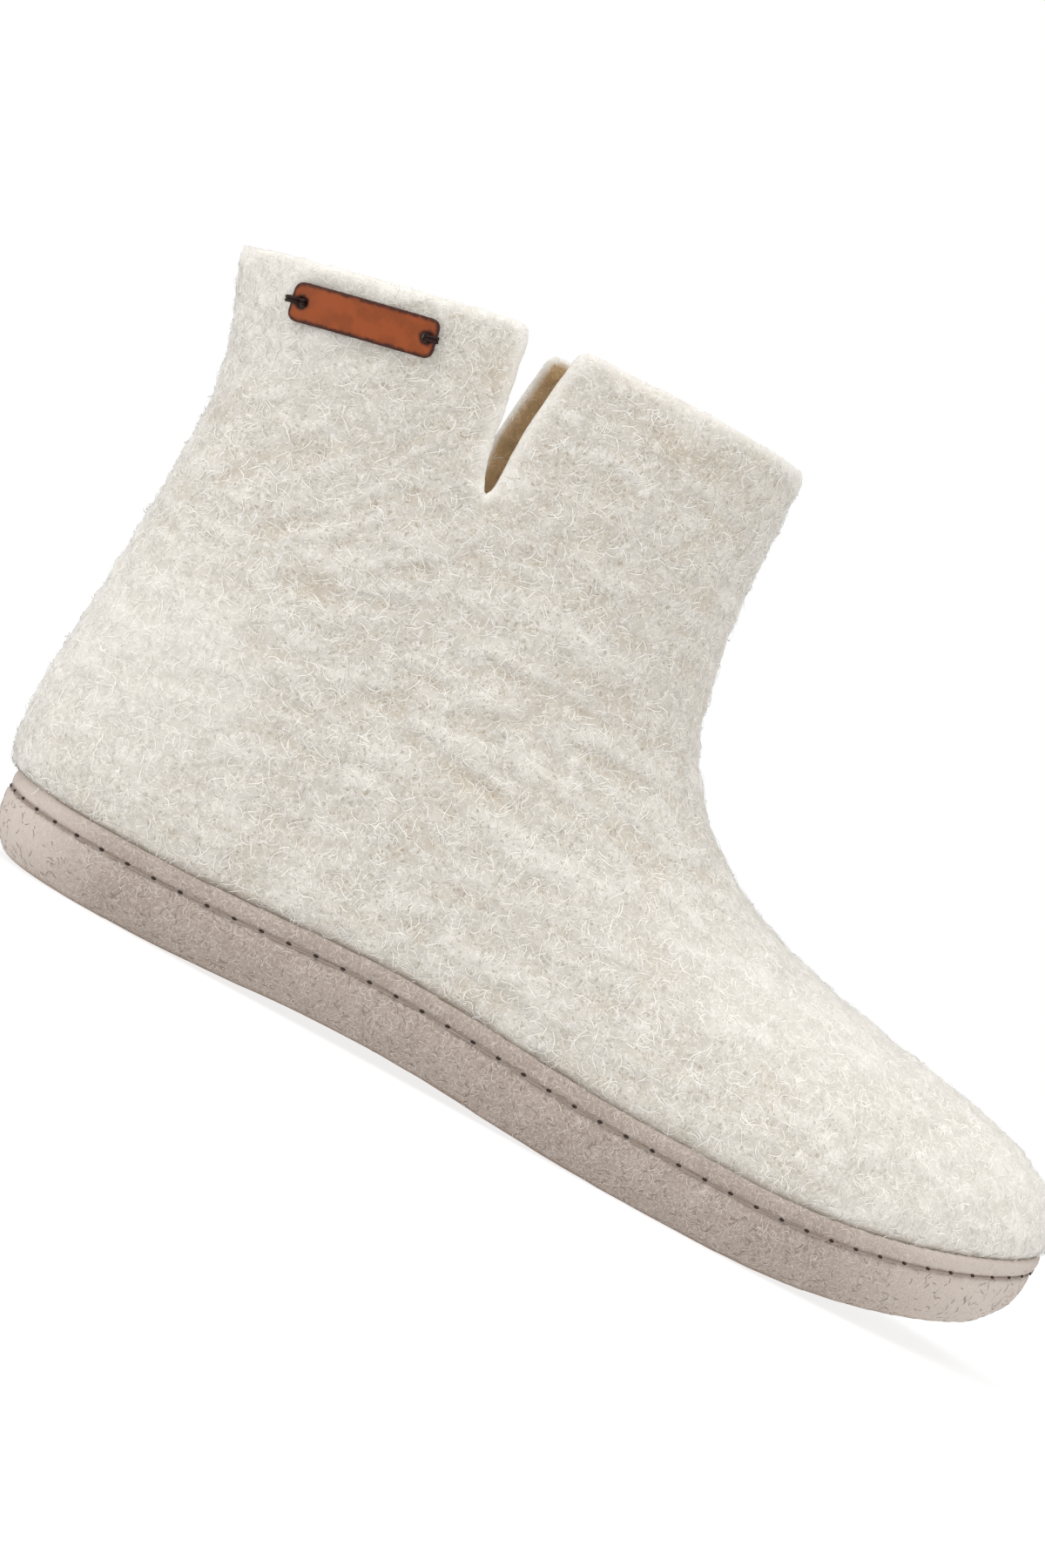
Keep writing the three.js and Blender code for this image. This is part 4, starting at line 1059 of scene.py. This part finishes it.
class WOOLBOOT_OT_fibres(Operator):
    """Curled wool fibres on the felt"""
    bl_idname = "wool_boot.fibres"
    bl_label = "Wool fibres"

    def execute(self, context):
        settings = context.scene.wool_boot_felt
        felt = bpy.data.objects["felt_upper"]
        tree = tree_of(felt, bpy.data.objects["suede_rand"])
        rng = np.random.default_rng(SEED)
        for number, look in enumerate(FIBRE_SETS, 1):
            paths = wool_paths(felt, tree, settings, rng)
            piece = strands(f"felt_fibres_{number}", paths, settings.fibre_radius * look["thickness"])
            laid_on(piece, tree)
            finish_piece(piece, "felt", fibre_finish(settings, f"wool_fibres_{number}", look["tone"]))
        return {"FINISHED"}


class WOOLBOOT_OT_sole(Operator):
    """Suede-covered sole with its rand and tread"""
    bl_idname = "wool_boot.sole"
    bl_label = "Suede sole"

    def execute(self, context):
        settings = context.scene.wool_boot_sole
        suede = suede_finish(settings)
        side = softened("suede_sole", settings.grain, 6, "midsole", "outsole", raised=0.8 * MM)
        # The suede that faces down is marked to be tinted darker
        under = -normals_of(side)[:, 2]
        store(side.data, "tread", smoothstep(under, 0.75, 0.97))
        finish_piece(side, "suede", suede, "midsole", "outsole")
        rand = softened("suede_rand", settings.rand_grain, 3, "rand")
        close_seam(side, rand)
        finish_piece(rand, "suede", suede, "rand")
        tree = tree_of(side, rand)
        rng = np.random.default_rng(SEED)
        for name, base, colour, share in (
            ("nap_light", side, settings.raised, 1.0),
            ("nap_dark", side, settings.furrow, 0.55),
            ("rand_nap", rand, settings.raised, 0.4),
        ):
            paths = nap_paths(base, tree, round(share * settings.nap), settings, rng)
            nap = strands(name, paths, settings.nap_radius)
            laid_on(nap, tree)
            finish_piece(nap, "suede", plain_finish(name, tuple(colour), 0.95, 0.9))
        return {"FINISHED"}


class WOOLBOOT_OT_stitches(Operator):
    """Thread along the rand's foot, with dark shapes at its stitches painted as the shade in their holes"""
    bl_idname = "wool_boot.stitches"
    bl_label = "Stitches"

    def execute(self, context):
        settings = context.scene.wool_boot_sole
        points, outward = seam_line(settings.stitch)
        share = (np.arange(len(points)) % PARTS_TO_STITCH) / PARTS_TO_STITCH
        lift = (-0.45 + 0.5 * np.sin(math.pi * share) ** 0.6) * MM
        drop = np.array((0, 0, SEAM_DROP))
        path = points + outward * lift[:, None] - drop
        welt = points - outward * WELT["inward"] - drop
        filler = strands("seam_welt", [welt], WELT["radius"], thins=False, sides=8, closed=True)
        finish_piece(filler, "suede", plain_finish("seam_welt", tuple(settings.suede), 0.95, 0.8))
        thread = strands("seam_thread", [path], settings.thread_radius, thins=False, sides=5, closed=True)
        finish_piece(thread, "suede", plain_finish("seam_thread", tuple(settings.thread), 0.8, 0.7))
        # Dark flattened balls at each stitch stand for the shade inside its hole
        form = bmesh.new()
        for index in range(0, len(points), PARTS_TO_STITCH):
            made = bmesh.ops.create_icosphere(form, subdivisions=2, radius=settings.hole / 2)
            out = Vector(outward[index])
            facing = out.to_track_quat("Y", "Z").to_matrix()
            for vertex in made["verts"]:
                vertex.co = facing @ (vertex.co * Vector(HOLE_FORM)) + Vector(path[index]) + out * HOLE_OUT
        holes = object_from(form, "seam_holes")
        finish_piece(holes, "suede", plain_finish("seam_holes", tuple(settings.dark), 1.0, 0.6))
        return {"FINISHED"}


class WOOLBOOT_OT_tag(Operator):
    """Leather tag with its two ties of waxed cord"""
    bl_idname = "wool_boot.tag"
    bl_label = "Leather tag"

    def execute(self, context):
        settings = context.scene.wool_boot_tag
        tag = softened("leather_tag", settings.grain, 2, "label")
        felt = merged_copy("felt_probe", "upper")
        tree = tree_of(felt)
        bpy.data.objects.remove(felt)
        points = points_of(tag)
        faces = np.array([tree.find_nearest(Vector(point))[1] for point in points])
        square = np.abs(np.einsum("ij,ij->i", faces, normals_of(tag)))
        rim = KDTree(len(points))
        for index in np.flatnonzero(square < 0.75):
            rim.insert(points[index], int(index))
        rim.balance()
        away = np.array([rim.find(point)[2] for point in points])
        store(tag.data, "edge", np.exp(-away / settings.burn_reach))
        finish_piece(tag, "tag_leather", leather_finish(settings), "label")
        cord = cord_finish(settings)
        for node in ("label_tie_back", "label_tie_front"):
            low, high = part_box(node)
            outward = np.array(tree.find_nearest((low + high) / 2)[1])
            paths = tie_paths(node, outward, points, settings)
            strand = strands(node + "_cord", paths, settings.cord_radius, thins=False, sides=10)
            finish_piece(strand, "waxed_cord", cord, node)
        return {"FINISHED"}


class WOOLBOOT_OT_stage(Operator):
    """Camera, lights, pale floor and white surround"""
    bl_idname = "wool_boot.stage"
    bl_label = "Stage"

    def execute(self, context):
        settings = context.scene.wool_boot_stage
        scene = context.scene
        aim = Vector((HEEL_BACK + settings.aim_along, 0, settings.aim_up))
        level = math.cos(settings.rise)
        back = Vector((
            math.sin(settings.turn) * level,
            -math.cos(settings.turn) * level,
            math.sin(settings.rise),
        ))
        lens = bpy.data.cameras.new("camera")
        lens.sensor_width = 36
        lens.lens = settings.lens
        lens.clip_start = 0.01
        camera = placed("camera", lens)
        camera.location = aim + back * settings.distance
        camera.rotation_mode = "QUATERNION"
        camera.rotation_quaternion = (-back).to_track_quat("-Z", "Y") @ Quaternion((0, 0, 1), settings.roll)
        scene.camera = camera
        scene.view_settings.view_transform = "Standard"
        world = bpy.data.worlds.new("surround")
        world.use_nodes = True
        sky = world.node_tree.nodes["Background"]
        sky.inputs["Color"].default_value = (1, 1, 1, 1)
        sky.inputs["Strength"].default_value = settings.sky
        scene.world = world
        sun = bpy.data.lights.new("overhead", "SUN")
        sun.energy = settings.sun
        sun.angle = math.radians(70)
        holder = placed("overhead", sun)
        holder.rotation_euler = Vector((0.25, 0.2, -1)).to_track_quat("-Z", "Y").to_euler()
        for name, lamp in LAMPS.items():
            self.light(name, aim, Vector(lamp["place"]), lamp["size"], getattr(settings, name))
        self.floor(settings.glow)
        self.surround()
        return {"FINISHED"}

    def light(self, name, aim, offset, size, power):
        lamp = bpy.data.lights.new(name, "AREA")
        lamp.shape = "DISK"
        lamp.size = size
        lamp.energy = power
        holder = placed(name, lamp)
        holder.location = aim + offset
        holder.rotation_euler = (-offset).to_track_quat("-Z", "Y").to_euler()

    def floor(self, glow):
        form = bmesh.new()
        bmesh.ops.create_circle(form, cap_ends=True, segments=96, radius=2.9)
        floor = object_from(form, "floor")
        finish = Finish("floor", 0.9)
        finish.colour((0.92 - 0.92 * glow,) * 3)
        finish.glow(glow)
        floor.data.materials.append(finish.material)

    def surround(self):
        form = bmesh.new()
        bmesh.ops.create_uvsphere(form, u_segments=48, v_segments=24, radius=3)
        bmesh.ops.reverse_faces(form, faces=form.faces)
        dome = object_from(form, "surround")
        finish = Finish("surround", 1.0, 0)
        finish.colour((0, 0, 0))
        finish.glow(1)
        dome.data.materials.append(finish.material)
        dome.visible_diffuse = False
        dome.visible_glossy = False
        dome.visible_transmission = False
        dome.visible_shadow = False


class WOOLBOOT_PT_panel(Panel):
    """Lists the boot's pieces and their settings"""
    bl_idname = "WOOLBOOT_PT_panel"
    bl_label = "Wool boot"
    bl_space_type = "VIEW_3D"
    bl_region_type = "UI"
    bl_category = "Wool boot"

    def draw(self, context):
        for step in STEPS:
            self.layout.operator(step.bl_idname)
        for name, group in SETTINGS.items():
            box = self.layout.box()
            for key in group.__annotations__:
                box.prop(getattr(context.scene, name), key)


SETTINGS = {
    "wool_boot_felt": FeltSettings,
    "wool_boot_sole": SoleSettings,
    "wool_boot_tag": TagSettings,
    "wool_boot_stage": StageSettings,
}
STEPS = (
    WOOLBOOT_OT_stage,
    WOOLBOOT_OT_upper,
    WOOLBOOT_OT_sole,
    WOOLBOOT_OT_fibres,
    WOOLBOOT_OT_stitches,
    WOOLBOOT_OT_tag,
)
CLASSES = (*SETTINGS.values(), *STEPS, WOOLBOOT_PT_panel)


def register():
    for item in CLASSES:
        bpy.utils.register_class(item)
    for name, group in SETTINGS.items():
        setattr(bpy.types.Scene, name, PointerProperty(type=group))


def unregister():
    for name in SETTINGS:
        delattr(bpy.types.Scene, name)
    for item in reversed(CLASSES):
        bpy.utils.unregister_class(item)


def main():
    register()
    bpy.ops.wool_boot.stage()
    bpy.ops.wool_boot.upper()
    bpy.ops.wool_boot.sole()
    bpy.ops.wool_boot.fibres()
    bpy.ops.wool_boot.stitches()
    bpy.ops.wool_boot.tag()


if __name__ == "__main__":
    main()
